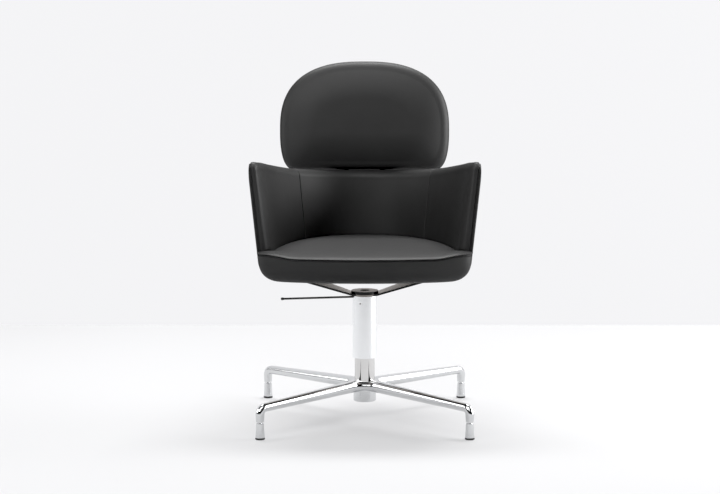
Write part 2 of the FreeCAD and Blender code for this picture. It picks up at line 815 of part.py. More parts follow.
def seat_outline(side_inset, front_inset, z, scale=1.0, back_share=0.0, wrap=None):
    """The seat's plan at a height: the wall's curve drawn in, and the bowed front.

    With a wrap, the front reaches out past the shell's cut front edge: how far, and from where.
    """
    middle = Vector(0, (float(s.wall_front) - float(s.nose_reach)) / 4, 0)

    def shrink(point):
        return middle + (point - middle) * scale + Vector(0, 0, z)

    def on_wall(place_on_wall):
        point, normal = plan(place_on_wall)
        return point - normal * (side_inset + padding(place_on_wall) * back_share)

    bow_centre = Vector(0, float(s.nose_radius - s.nose_reach), 0)
    radius = float(s.nose_radius) - front_inset

    def behind_bow(place_on_wall):
        return radius - on_wall(place_on_wall).distanceToPoint(bow_centre)

    land, near, end = float(s.nose_land), 0.5, 1.0

    def too_far(place_on_wall):
        past_step = wrap and on_wall(place_on_wall).y < wrap[1] + land
        return past_step or behind_bow(place_on_wall) < land

    if too_far(end):
        for _ in range(HALVINGS):
            middle_place = (near + end) / 2
            if too_far(middle_place):
                end = middle_place
            else:
                near = middle_place
    wall = [on_wall(end * stop) for stop in OUTLINE_STOPS]
    right = [wall[-1]]
    half = wall[-1].x
    if wrap:
        right.append(Vector(half, wrap[1], 0))
        half += wrap[0]
        right.append(Vector(half, wrap[1], 0))
    right.append(Vector(half, bow_centre.y - math.sqrt(radius ** 2 - half ** 2), 0))
    left = [Vector(-point.x, point.y, 0) for point in reversed(right)]
    nose = Vector(0, bow_centre.y - radius, 0)

    def straight(points):
        return [Part.LineSegment(shrink(a), shrink(b)).toShape() for a, b in zip(points, points[1:])]

    edges = straight(left)
    for i in range(0, len(wall) - 1, 2):
        arc = Part.Arc(shrink(wall[i]), shrink(wall[i + 1]), shrink(wall[i + 2]))
        edges.append(arc.toShape())
    edges += straight(right)
    edges.append(Part.Arc(shrink(right[-1]), shrink(nose), shrink(left[0])).toShape())
    return Part.Wire(edges)


def slab(outline, thickness):
    """A flat plate from a plan outline."""
    return Part.Face(outline).extrude(Vector(0, 0, thickness))


pan_low = s.underside + s.shell_thickness
pan_high = pan_low + s.pan_thickness
pan_inset = s.shell_corner_radius + s.pan_margin
SHELL_BOLTS = (-0.82, -0.55, -0.28, 0.0, 0.28, 0.55, 0.82)


def shell_bolts(grow):
    """The bolts that clamp the shell's lip between the board below and the pan above."""
    inset = float(s.shell_corner_radius + s.shell_bolt_reach)
    length = float(pan_high - board_low - s.bolt_end_gap) + grow
    bolts = []
    for place_on_wall in SHELL_BOLTS:
        point, normal = plan(place_on_wall)
        foot = point - normal * inset + Vector(0, 0, float(board_low))
        bolts.append(Part.makeCylinder(float(s.shell_bolt_radius) + grow, length, foot))
    return Part.makeCompound(bolts)


def make_seat_boards():
    """The mounting board under the shell's lip, the pan above it, and what fastens them."""
    bolt_holes = shell_bolts(float(s.press_clearance))
    board = slab(seat_outline(float(pan_inset), float(s.pan_nose), float(board_low)),
                 float(s.board_depth))
    half, reach = float(s.wall_half_width), float(s.nose_reach)
    ahead = Part.makeBox(2 * half, reach, float(s.board_depth),
                         Vector(-half, float(s.board_front) - reach, float(board_low)))
    sockets = wing_screw_holes(s.insert_radius + s.press_clearance, s.insert_length, board_low)
    feature("mounting_board", board.cut(ahead).cut(bolt_holes).cut(sockets).removeSplitter())
    pan = slab(seat_outline(float(pan_inset), float(s.pan_nose), float(pan_low)),
               float(s.pan_thickness))
    feature("seat_pan", pan.cut(bolt_holes))
    feature("shell_bolts", shell_bolts(0.0))
    shell = pieces["outer_shell"]
    shell.Shape = shell.Shape.cut(bolt_holes)

    screws, inserts = [], []
    under = board_low - s.wing_thickness
    head_low = under - s.wing_screw_head_height
    reach = s.wing_screw_head_height + s.wing_thickness + s.insert_length - s.bolt_end_gap
    for i, (x, y) in enumerate(wing_screw_points()):
        head = cylinder("screw_head_%d" % i, s.wing_screw_head_radius, s.wing_screw_head_height,
                        head_low, x, y)
        shank = cylinder("screw_shank_%d" % i, s.wing_screw_radius, reach, head_low, x, y)
        screws.append(fuse("screw_%d" % i, head, shank))
        outside = cylinder("insert_outside_%d" % i, s.insert_radius, s.insert_length, board_low,
                           x, y)
        inside = cylinder("insert_inside_%d" % i, s.wing_screw_radius + s.press_clearance,
                          s.insert_length, board_low, x, y)
        inserts.append(cut("insert_%d" % i, outside, inside))
    group("wing_screws", screws)
    group("board_inserts", inserts)


# The cushion's levels by share of the height above the lip, and its crown by plan scale and rise
BELOW_LIP = (0.0, 0.5, 1.0)
ABOVE_LIP = (0.02, 0.1, 0.22, 0.36, 0.52, 0.7, 0.85, 1.0)
CROWN = ((1.0, 0.0), (0.988, 0.26), (0.96, 0.5), (0.9, 0.72), (0.76, 0.9), (0.55, 0.98),
         (0.3, 1.0))
CORNER_EASE = 1.06


def make_cushion():
    """The cushion: a boxed body whose front wraps over the shell's front edge, and a crowned top."""
    gap = float(s.soft_clearance)
    low, edge = float(s.underside), float(s.cushion_edge)
    thick, corner = float(s.shell_thickness), float(s.shell_corner_radius)
    lip_inset = corner + float(s.shell_lip + s.cushion_lip_room)
    lip_top = low + thick + gap
    turn_in = corner - thick

    def drawn_in(radius, z):
        below = max(low + corner - z, 0.0)
        return radius - math.sqrt(max(radius ** 2 - below ** 2, 0.0))

    arm_tip = float(s.wall_front - s.wall_overhang) - gap

    def level(side, z, reach):
        front = drawn_in(corner, z)
        return seat_outline(side, front, z, wrap=(reach, arm_tip + front))

    levels = []
    for share in BELOW_LIP:
        levels.append(level(lip_inset, low + (lip_top - low) * share, float(s.band_inset)))
    for share in ABOVE_LIP:
        z = lip_top + (edge - lip_top) * share
        lean = float(s.shell_lean) * (float(s.seat_level) - z)
        side = thick + gap + drawn_in(turn_in, z) * CORNER_EASE + lean + float(s.cushion_ease)
        levels.append(level(side, z, side - lean - drawn_in(corner, z) - float(s.band_inset)))
    body = Part.makeLoft(levels, True, True, False)
    crown = float(s.cushion_crown)
    inset, front = float(s.wall_thickness + s.crown_inset), float(s.crown_front_inset)
    domes = [seat_outline(inset, front, edge + crown * rise, scale, 1.0) for scale, rise in CROWN]
    top = Part.makeLoft(domes, True, True, False)
    pocket = slab(seat_outline(float(pan_inset) - gap, float(s.pan_nose) - gap, float(board_low)),
                  float(pan_high - board_low) + gap)
    feature("seat_cushion", body.fuse(top).cut(pocket).removeSplitter())


# The upper pad lies in a frame that leans back with the shell: its own X across, Z up and Y to
# the rear, from the shell's inner face at the middle of the back rim
def lean_frame():
    """The placement that leans the pad and its upright back with the shell."""
    lean = float(s.shell_lean)
    rise = float(s.rim_back - s.seat_level)
    y = float(s.wall_front + s.wall_depth - s.shell_thickness) + lean * rise
    angle = -math.degrees(math.atan(lean))
    return FreeCAD.Placement(Vector(0, y, float(s.rim_back)),
                             FreeCAD.Rotation(Vector(1, 0, 0), angle))


def upright_rear():
    """Depth of the upright's rear face: as far back as the curved shell lets its edges go."""
    half = float(s.upright_width) / 2
    power = float(s.wall_corner_power)
    depth = float(s.wall_depth - s.shell_thickness)
    side = float(s.wall_half_width - s.shell_thickness)
    fall = depth * (1 - (1 - (half / side) ** power) ** (1 / power))
    return -fall - float(s.soft_clearance)


def upright_bar(grow):
    """The upright's plain bar in the leaning frame, grown by a clearance."""
    width, thick = float(s.upright_width) + 2 * grow, float(s.upright_thickness) + 2 * grow
    height = float(s.upright_below_rim + s.upright_above_rim) + 2 * grow
    corner = Vector(-width / 2, upright_rear() - float(s.upright_thickness) - grow,
                    -float(s.upright_below_rim) - grow)
    return Part.makeBox(width, thick, height, corner)


def upright_room():
    """The room that the back lining leaves for the upright, open to the rear."""
    room = upright_bar(float(s.soft_clearance))
    behind = room.copy()
    behind.translate(Vector(0, float(s.upright_thickness), 0))
    room = room.fuse(behind)
    room.Placement = lean_frame()
    return room


def upright_screws(grow):
    """Two pairs of screws through the upright, below into the shell and above into the board."""
    margin = float(s.upright_screw_margin)
    head = upright_rear() - float(s.upright_thickness)
    screws = []
    for z in (margin - float(s.upright_below_rim), float(s.upright_above_rim) - margin):
        for side in (-1, 1):
            x = side * (float(s.upright_width) / 2 - margin)
            screws.append(Part.makeCylinder(
                float(s.upright_screw_radius) + grow, float(s.upright_screw_length),
                Vector(x, head, z), Vector(0, 1, 0)))
    return Part.makeCompound(screws)


# Where the pad's outline is sampled, in degrees round from its right side, and its faces in
# levels: the turns of its rolled edge, then the crown by drawn-in rolls and share of the depth
PAD_TOP = (0, 8, 20, 32, 46, 68, 90, 112, 134, 148, 160, 172)
PAD_BOTTOM = (180, 184, 188, 194, 202, 213, 225, 237, 248, 258, 264, 267)
PAD_ROLL = (0, 25, 48, 68)
PAD_ROLL_SHARE = 0.65
PAD_CROWN = ((1.5, 0.82), (2.4, 0.94), (3.4, 1.0))


def pad_outline(margin, depth):
    """The pad's D: a broad round top over a nearly straight bottom, drawn in by a margin."""
    half = float(s.pad_half_width) - margin
    centre = float(s.pad_lower_height + s.pad_lift)
    top = float(s.pad_top_power)
    upper = (float(s.pad_upper_height), top, top)
    lower = (float(s.pad_lower_height), float(s.pad_bottom_flatness), float(s.pad_bottom_power))

    def point(turn):
        sine = round(math.sin(math.radians(turn)), 9)
        cosine = round(math.cos(math.radians(turn)), 9)
        tall, across, power = upper if sine >= 0 else lower
        x = math.copysign(abs(cosine) ** (2 / across), cosine) * half
        z = math.copysign(abs(sine) ** (2 / power), sine) * (tall - margin)
        return Vector(x, depth, centre + z)

    mirrored = tuple(540 - stop for stop in reversed(PAD_BOTTOM[1:]))
    stops = PAD_TOP + PAD_BOTTOM + (270,) + mirrored + (0,)
    arcs = [Part.Arc(point(stops[i]), point(stops[i + 1]), point(stops[i + 2])).toShape()
            for i in range(0, len(stops) - 1, 2)]
    return Part.Wire(arcs)


def pad_loft(start, end):
    """Half of the pad from its joining plane to its crowned face, its edge rolled over."""
    roll, depth = float(s.pad_edge_radius), end - start
    wires = []
    for turn in PAD_ROLL:
        angle = math.radians(turn)
        wires.append(pad_outline(roll * (1 - math.cos(angle)),
                                 start + depth * PAD_ROLL_SHARE * math.sin(angle)))
    for rolls, share in PAD_CROWN:
        wires.append(pad_outline(roll * rolls, start + depth * share))
    return Part.makeLoft(wires, True, True, False)


def make_pad():
    """The upper pad: front cushion, board, rear cushion, and the upright that carries it."""
    lean = lean_frame()
    gap = float(s.soft_clearance)
    face = upright_rear()
    joint = face + float(s.pad_board_thickness)
    front = pad_loft(joint, face - float(s.pad_front_depth))
    rear = pad_loft(joint + gap, joint + float(s.pad_rear_depth))
    board_depth = Vector(0, float(s.pad_board_thickness), 0)
    board = Part.Face(pad_outline(float(s.pad_board_margin), face)).extrude(board_depth)
    room = Part.Face(pad_outline(float(s.pad_board_margin) - gap, face - gap))
    front = front.cut(room.extrude(board_depth + Vector(0, 2 * gap, 0))).cut(upright_bar(gap))
    holes = upright_screws(float(s.press_clearance))
    for label, shape in (("pad_front", front), ("pad_board", board.cut(holes)),
                         ("pad_rear", rear), ("back_upright", upright_bar(0.0).cut(holes)),
                         ("upright_screws", upright_screws(0.0))):
        feature(label, shape).Placement = lean
    holes.Placement = lean
    shell = pieces["outer_shell"]
    shell.Shape = shell.Shape.cut(holes)


def write_pieces():
    """Checks every object, then writes one file for each sub-part."""
    doc.recompute()
    for obj in doc.Objects:
        if "Invalid" in obj.State or "Error" in obj.State:
            raise RuntimeError("%s failed: %s" % (obj.Label, obj.State))
    for label, obj in pieces.items():
        if obj.Shape.isNull() or not obj.Shape.isValid() or not obj.Shape.Solids:
            raise RuntimeError("%s has no valid solid" % label)
    os.makedirs("parts", exist_ok=True)
    for label, obj in pieces.items():
        obj.Shape.exportStep("parts/%s.step" % label)
        print("%-20s %3d solids %12.0f mm3" % (label, len(obj.Shape.Solids), obj.Shape.Volume))


for corner, turn in FEET.items():
    make_foot(corner, turn)
make_base_star()
make_column()
make_spindle()
make_lift()
make_lever()
make_wing_plate()
make_walls()
make_seat_boards()
make_cushion()
make_pad()
write_pieces()
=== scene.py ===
import bisect
import json
import math

import numpy as np

import bmesh
import bpy
from mathutils import Matrix, Vector

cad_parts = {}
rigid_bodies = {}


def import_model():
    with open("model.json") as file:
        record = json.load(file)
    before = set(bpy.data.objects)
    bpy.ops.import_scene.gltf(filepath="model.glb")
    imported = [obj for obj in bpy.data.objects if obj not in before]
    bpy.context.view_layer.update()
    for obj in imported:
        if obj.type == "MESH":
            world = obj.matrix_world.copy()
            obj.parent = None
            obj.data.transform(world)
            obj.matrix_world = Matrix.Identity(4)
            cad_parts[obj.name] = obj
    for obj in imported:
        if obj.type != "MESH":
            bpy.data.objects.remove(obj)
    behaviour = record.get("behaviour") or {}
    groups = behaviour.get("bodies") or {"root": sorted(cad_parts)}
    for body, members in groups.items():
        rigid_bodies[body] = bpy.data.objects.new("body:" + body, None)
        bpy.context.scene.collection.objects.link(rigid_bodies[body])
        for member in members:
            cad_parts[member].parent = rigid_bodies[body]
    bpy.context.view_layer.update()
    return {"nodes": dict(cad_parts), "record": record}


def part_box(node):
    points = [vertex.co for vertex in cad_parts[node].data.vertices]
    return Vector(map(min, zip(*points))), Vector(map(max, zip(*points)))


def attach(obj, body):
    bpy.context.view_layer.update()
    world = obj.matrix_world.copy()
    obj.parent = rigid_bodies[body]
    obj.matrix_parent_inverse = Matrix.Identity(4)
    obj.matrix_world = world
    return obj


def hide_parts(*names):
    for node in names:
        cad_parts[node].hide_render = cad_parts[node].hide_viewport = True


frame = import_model()
nodes = frame["nodes"]

# A black leather swivel armchair on a polished four-star base. Metres, in the chair's own frame:
# +Z up, the sitter faces -Y, origin on the floor under the column.

SHELL_LOW, SHELL_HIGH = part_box("outer_shell")
CUSHION_LOW, CUSHION_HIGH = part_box("seat_cushion")
STAR_LOW, STAR_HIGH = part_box("base_star")
TUBE_LOW, TUBE_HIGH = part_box("column_tube")
FOOT_LOW, FOOT_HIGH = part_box("foot_front_left")

# Bucket wall: its plan at seat level is half a superellipse, its faces lean outwards
SEAT_LEVEL = 0.436
WALL_HALF_WIDTH = 0.259
WALL_DEPTH = 0.395
WALL_FRONT = -0.150
WALL_POWER = 2.15
ARM_OVERHANG = 0.015
RIM_BACK = 0.5956
RIM_ARM = SHELL_HIGH.z
RIM_POWER = 2.0
FRONT_START = 0.80
TIP_FALL = 0.0045
TIP_FALL_START = 0.84
CREST_LIFT = 0.0062
CREST_RANGE = (0.40, 0.80)
SHELL_LEAN = 0.105
LINING_LEAN = 0.115
SHELL_THICKNESS = 0.0095
SHELL_CORNER = 0.052
SHELL_LIP = 0.020
UNDERSIDE = SHELL_LOW.z
WALL_THICKNESS = 0.033
BACK_PADDING = 0.010
LINING_SEAM = 0.480
LINING_FOOT = 0.4279
SOFT_GAP = 0.0004

# Seat cushion
NOSE_RADIUS = 0.770
NOSE_REACH = -CUSHION_LOW.y
CUSHION_EDGE = 0.4310
CUSHION_CROWN = CUSHION_HIGH.z - CUSHION_EDGE

# Upper pad, in a plane that leans back with the shell
PAD_HALF_WIDTH = 0.217
PAD_UPPER = 0.176
PAD_LOWER = 0.099
PAD_TOP_POWER = 2.55
PAD_BOTTOM_POWER = 2.4
PAD_BOTTOM_FLATNESS = 16.0
PAD_LIFT = 0.0014
PAD_EDGE = 0.026

# Star base
SPOKE_ANGLE = 45.0
FOOT_CIRCLE = 0.354

# Faces that meet at more than this many degrees keep a crisp edge
SHARP_ANGLE = 40.0
CAST_SHARP_ANGLE = 38.0

LATHE_SEGMENTS = 72
SHORTEST_STEP = 1e-9


def lerp(a, b, share):
    """A value between two others."""
    return a + (b - a) * share


def quarter_round(distance, length, amount):
    """How far a face falls back near an edge: a quarter of an ellipse over the last length."""
    if distance >= length:
        return 0.0
    share = 1 - max(distance, 0.0) / length
    return amount * (1 - math.sqrt(max(1 - share * share, 0.0)))


def build(name, points, faces):
    """A smooth-shaded mesh object, its faces turned outwards."""
    mesh = bpy.data.meshes.new(name)
    mesh.from_pydata([tuple(p) for p in points], [], faces)
    mesh.update()
    work = bmesh.new()
    work.from_mesh(mesh)
    if len(faces) > 1 and work.calc_volume(signed=True) < 0:
        bmesh.ops.reverse_faces(work, faces=work.faces)
        work.to_mesh(mesh)
    work.free()
    mesh.shade_smooth()
    mesh.set_sharp_from_angle(angle=math.radians(SHARP_ANGLE))
    piece = bpy.data.objects.new(name, mesh)
    bpy.context.scene.collection.objects.link(piece)
    return piece


def skin(rings, cap_end=True):
    """Points and faces of a surface through rings of the same count; its last ring may stay open."""
    count = len(rings[0])
    points = [p for ring in rings for p in ring]
    faces = []
    for i in range(len(rings) - 1):
        for j in range(count):
            k = (j + 1) % count
            faces.append((i * count + j, i * count + k, (i + 1) * count + k, (i + 1) * count + j))
    faces.append(tuple(reversed(range(count))))
    if cap_end:
        start = (len(rings) - 1) * count
        faces.append(tuple(range(start, start + count)))
    return points, faces


def arc(start, corner, end, steps):
    """Points of a quarter of an ellipse that rounds a corner, without its first point."""
    out = []
    for i in range(1, steps + 1):
        angle = math.pi / 2 * i / steps
        a, b = 1 - math.sin(angle), 1 - math.cos(angle)
        out.append((corner[0] + (start[0] - corner[0]) * a + (end[0] - corner[0]) * b,
                    corner[1] + (start[1] - corner[1]) * a + (end[1] - corner[1]) * b))
    return out


def line(start, end, steps):
    """Points along a straight run, without its first point."""
    return [(lerp(start[0], end[0], i / steps), lerp(start[1], end[1], i / steps))
            for i in range(1, steps + 1)]


def plan(place):
    """A point of the wall's outer face at seat level, and the outward direction there."""
    angle = place * math.pi / 2
    across = math.copysign(abs(math.sin(angle)) ** (2 / WALL_POWER), angle)
    along = max(math.cos(angle), 0.0) ** (2 / WALL_POWER)
    point = Vector((WALL_HALF_WIDTH * across, WALL_FRONT + WALL_DEPTH * along, 0))
    normal = Vector((math.copysign(abs(across) ** (WALL_POWER - 1), angle) / WALL_HALF_WIDTH,
                     along ** (WALL_POWER - 1) / WALL_DEPTH, 0))
    return point, normal.normalized()


class Wall:
    """The wall's run from the left arm's front tip round the back to the right one's, by length."""

    STEPS = 800

    def __init__(self):
        left, right = plan(-1.0), plan(1.0)
        ahead = Vector((0, -ARM_OVERHANG, 0))
        places = [-1 + 2 * i / self.STEPS for i in range(self.STEPS + 1)]
        self.stops = [(left[0] + ahead, left[1], -1.0)]
        self.stops += [(*plan(place), place) for place in places]
        self.stops.append((right[0] + ahead, right[1], 1.0))
        self.runs = [0.0]
        for a, b in zip(self.stops, self.stops[1:]):
            self.runs.append(self.runs[-1] + (b[0] - a[0]).length)
        self.length = self.runs[-1]

    def at(self, run):
        """Point, outward direction and place at a length along the wall."""
        high = min(max(bisect.bisect_right(self.runs, run), 1), len(self.runs) - 1)
        low = high - 1
        share = (run - self.runs[low]) / max(self.runs[high] - self.runs[low], SHORTEST_STEP)
        a, b = self.stops[low], self.stops[high]
        return a[0].lerp(b[0], share), a[1].lerp(b[1], share).normalized(), lerp(a[2], b[2], share)

    def run_of(self, place):
        """Length along the wall at a place."""
        return min(zip(self.stops, self.runs), key=lambda pair: abs(pair[0][2] - place))[1]


wall = Wall()


def ease(value, start, end):
    """Eases from 0 at the start to 1 at the end."""
    share = min(max((value - start) / (end - start), 0.0), 1.0)
    return share * share * (3 - 2 * share)


def near_front(place, start=FRONT_START):
    """How close a place is to the arms' fronts: 0 up to the start, then easing to 1 at the tips."""
    return ease(abs(place), start, 1.0)


def rim(place):
    """Height of the wall's top edge."""
    rise = (RIM_ARM - RIM_BACK) * abs(place) ** RIM_POWER
    return RIM_BACK + rise - TIP_FALL * near_front(place, TIP_FALL_START)


def padding(place):
    """How much thicker the lining is here than at the arms' fronts."""
    return BACK_PADDING * (1 - place ** 2)


def stand(section, run):
    """Sets a section of distance and height pairs up on the wall."""
    point, normal, place = wall.at(run)
    return [point + normal * d + Vector((0, 0, z)) for d, z in section(place, run)]


def spread(start, end, count, near_start, near_end):
    """Stations from start to end, even but for extra ones close to each end."""
    stops = {start, end}
    stops |= {lerp(start, end, i / count) for i in range(1, count)}
    stops |= {start + offset for offset in near_start}
    stops |= {end - offset for offset in near_end}
    return sorted(stops)


def close_to_edge(length, steps):
    """Offsets that sample a quarter round evenly by angle."""
    return [length * (1 - math.cos(math.pi / 2 * i / steps)) for i in range(steps + 1)]


# Outer shell of the bucket

ARM_CORNER = 0.015
SHELL_END_ROLL = 0.0045
SHELL_TOP_ROLL = 0.042
SHELL_BACK_ROLL = 0.014
SHELL_ROLL_START = 0.70
SHELL_CREST_SHARE = 0.9
SHELL_INNER_EDGE = 0.0015
SHELL_CORNER_STEPS = 16
SHELL_STATIONS = 140
TIP_CREST = 0.0022
STRIP_SLIM = 0.0055
SLIMMEST_SHARE = 0.3
ARM_SLIM = 0.003
TURNED_UNDER = 0.115
ARM_TIP = WALL_FRONT - ARM_OVERHANG
SHELL_DROP = 0.0025


def shell_rim(place):
    """Height of the shell's own edge, a little under the padded crest beside it."""
    return rim(place) + (CREST_LIFT - SHELL_DROP) * ease(abs(place), *CREST_RANGE)


def shell_section(place, run):
    """The outer shell's J, rounded over at the rim and drawn in at the arms' fronts."""
    tip = min(run, wall.length - run)
    inset = quarter_round(tip, SHELL_END_ROLL, SHELL_END_ROLL)
    top = shell_rim(place) - quarter_round(tip, ARM_CORNER, ARM_CORNER)
    thick = SHELL_THICKNESS - ARM_SLIM * near_front(place) - 2 * inset
    low = UNDERSIDE + inset
    radius = SHELL_CORNER - inset
    tilt = math.atan(SHELL_LEAN)
    centre_z = low + radius
    centre_d = SHELL_LEAN * (centre_z - radius * math.sin(tilt) - SEAT_LEVEL)
    centre_d -= inset + radius * math.cos(tilt)

    def face(depth, z):
        return (SHELL_LEAN * (z - SEAT_LEVEL) - inset - depth, z)

    def corner(size, angle):
        return (centre_d + size * math.sin(angle), centre_z - size * math.cos(angle))

    turn = math.pi / 2 - tilt
    steps = SHELL_CORNER_STEPS
    outer = [corner(radius, turn * i / steps) for i in range(steps + 1)]
    slim = max(thick - (STRIP_SLIM - ARM_SLIM) * near_front(place), SLIMMEST_SHARE * thick)
    inner = [corner(radius - slim, turn * (steps - i) / steps) for i in range(steps + 1)]
    lip_low, lip_high = (centre_d - SHELL_LIP, low), (centre_d - SHELL_LIP, low + thick)
    fall = lerp(SHELL_BACK_ROLL, SHELL_TOP_ROLL, near_front(place, SHELL_ROLL_START))
    start, crest = face(0, top - fall), face(thick * SHELL_CREST_SHARE, top)
    last = face(thick, top - SHELL_INNER_EDGE)
    section = [lip_low] + line(lip_low, outer[0], 3) + outer[1:]
    section += line(outer[-1], start, 26) + arc(start, face(0, top), crest, 9)
    section += arc(crest, face(thick, top), last, 3)
    beside_seat = face(thick, SEAT_LEVEL)
    section += line(last, beside_seat, 8) + line(beside_seat, inner[0], 4) + inner[1:]
    section += line(inner[-1], lip_high, 3)
    return section


def make_shell():
    """The moulded outer shell under its leather."""
    ends = close_to_edge(SHELL_END_ROLL, 6) + close_to_edge(ARM_CORNER, 8)
    stations = spread(0.0, wall.length, SHELL_STATIONS, ends, ends)
    rings = []
    for run in stations:
        ring = stand(shell_section, run)
        for point in ring:
            fall = quarter_round(point.z - UNDERSIDE, SHELL_CORNER, SHELL_CORNER)
            point.y += fall * ease(ARM_TIP + TURNED_UNDER - point.y, 0.0, TURNED_UNDER)
        rings.append(ring)
    return build("outer_shell_leather", *skin(rings))


# Linings of the bucket

FRONT_ROLL_LOW = 0.030
FRONT_ROLL_HIGH = 0.072
FRONT_SEAM_ROLL = 0.004
FRONT_CREST = 0.009
FRONT_SPARE = 0.0006
FOOT_LIFT = 0.012
FOOT_LIFT_RANGE = (0.06, 0.02)
SEAM_ROLL = 0.0028
LINING_PUFF = 0.0025
PUFF_BREADTH = 1.6
PUFF_POWER = 0.7
TIP_CREST_START = 0.75
CREST_EDGE = 0.002
CREST_EDGE_SHARE = 0.3
CREST_ROLL = 0.020
CREST_ROLL_SHARE = 1.3
CREST_INNER_SHARE = 0.64
CREST_OUTER_SHARE = 0.33
HEEL_ROUND = 0.007
HEEL_ROUND_SHARE = 0.3
HEEL_WIDTH_SHARE = 0.4
INSIDE_STEPS = 26
LINING_STATIONS = 60

# A length beyond the reach of any roll, for an end that has no such edge
NO_EDGE = 1.0


def lining_maker(start, end, open_start, open_end):
    """The section of one lining between two places along the wall."""

    def section(place, run):
        tip = min(run - start if open_start else NO_EDGE, end - run if open_end else NO_EDGE)
        seam = min(NO_EDGE if open_start else run - start, NO_EDGE if open_end else end - run)
        foot_z = LINING_FOOT + FOOT_LIFT * ease(tip, *FOOT_LIFT_RANGE)
        brim = shell_rim(place) - SOFT_GAP
        brim -= quarter_round(tip, ARM_CORNER, ARM_CORNER)
        brim -= quarter_round(seam, SEAM_ROLL, SEAM_ROLL)
        top = brim + SHELL_DROP * ease(abs(place), *CREST_RANGE)
        top += TIP_CREST * near_front(place, TIP_CREST_START)
        thick_low = WALL_THICKNESS + padding(place) - SHELL_THICKNESS - SOFT_GAP
        seamed = quarter_round(tip, FRONT_SEAM_ROLL, 1.0)
        share = (run - start) / (end - start)
        swell = LINING_PUFF * min(math.sin(math.pi * share) * PUFF_BREADTH, 1.0)

        def beside_shell(z):
            shell = SHELL_THICKNESS - ARM_SLIM * near_front(place)
            return SHELL_LEAN * (z - SEAT_LEVEL) - shell - SOFT_GAP

        def outside(z):
            return (beside_shell(z) - seamed * FRONT_CREST, z)

        def inside(z):
            flat = LINING_LEAN * (z - SEAT_LEVEL) - WALL_THICKNESS - padding(place)
            rise = min(max((z - foot_z) / (top - foot_z), 0.0), 1.0)
            rolled = quarter_round(tip, lerp(FRONT_ROLL_LOW, FRONT_ROLL_HIGH, rise), 1.0)
            flat -= swell * (1 - rolled) * math.sin(math.pi * rise) ** PUFF_POWER
            flat += quarter_round(seam, SEAM_ROLL, SEAM_ROLL)
            return (lerp(flat, beside_shell(z) - FRONT_CREST - FRONT_SPARE, rolled), z)

        thick = outside(top)[0] - inside(top)[0]
        small = min(CREST_EDGE, thick * CREST_EDGE_SHARE)
        roll_wide = thick * CREST_INNER_SHARE
        roll_tall = min(CREST_ROLL, thick * CREST_ROLL_SHARE)
        foot = min(HEEL_ROUND, thick_low * HEEL_ROUND_SHARE)
        sole_wide = outside(foot_z)[0] - inside(foot_z + foot)[0]
        foot_wide = min(foot, sole_wide * HEEL_WIDTH_SHARE)
        edge = outside(brim - small)
        crest_out = (outside(top)[0] - thick * CREST_OUTER_SHARE, top)
        crest_in = (inside(top - roll_tall)[0] + roll_wide, top)
        turn = inside(top - roll_tall)
        heel = inside(foot_z + foot)
        sole = (heel[0] + foot_wide, foot_z)
        bottom = outside(foot_z)
        loop = [bottom] + line(bottom, edge, 6) + arc(edge, outside(top), crest_out, 7)
        loop += line(crest_out, crest_in, 3)
        loop += arc(crest_in, (turn[0], top), turn, 12)
        loop += [inside(lerp(turn[1], heel[1], i / INSIDE_STEPS))
                 for i in range(1, INSIDE_STEPS + 1)]
        loop += arc(heel, (heel[0], foot_z), sole, 5)
        loop += line(sole, bottom, 3)[:-1]
        return loop

    return section


def make_linings():
    """The three padded linings that meet at two upright seams."""
    seam_left, seam_right = wall.run_of(-LINING_SEAM), wall.run_of(LINING_SEAM)
    fronts = close_to_edge(FRONT_ROLL_HIGH, 14) + close_to_edge(FRONT_ROLL_LOW, 8)
    fronts += close_to_edge(FRONT_SEAM_ROLL, 5) + close_to_edge(ARM_CORNER, 6)
    seams = close_to_edge(SEAM_ROLL, 5)
    pieces = {}
    for name, start, end in (("left", 0.0, seam_left), ("back", seam_left, seam_right),
                             ("right", seam_right, wall.length)):
        open_start, open_end = name == "left", name == "right"
        section = lining_maker(start, end, open_start, open_end)
        stations = spread(start, end, LINING_STATIONS, fronts if open_start else seams,
                          fronts if open_end else seams)
        rings = [stand(section, run) for run in stations]
        pieces[name] = build("lining_%s_leather" % name, *skin(rings))
    return pieces


# Welt in the seam of each arm's front

PIPING = 0.0011
PIPING_SIDES = 10
PIPING_SETBACK = 0.0016
PIPING_SUNK = 0.001
PIPING_TOP_RUN = 0.10
PIPING_DIVE = 0.004
PIPING_DIVE_STEP = 25
PIPING_FRONT_STEPS = 29
PIPING_CORNER_STEPS = 8
PIPING_TOP_STEPS = 39


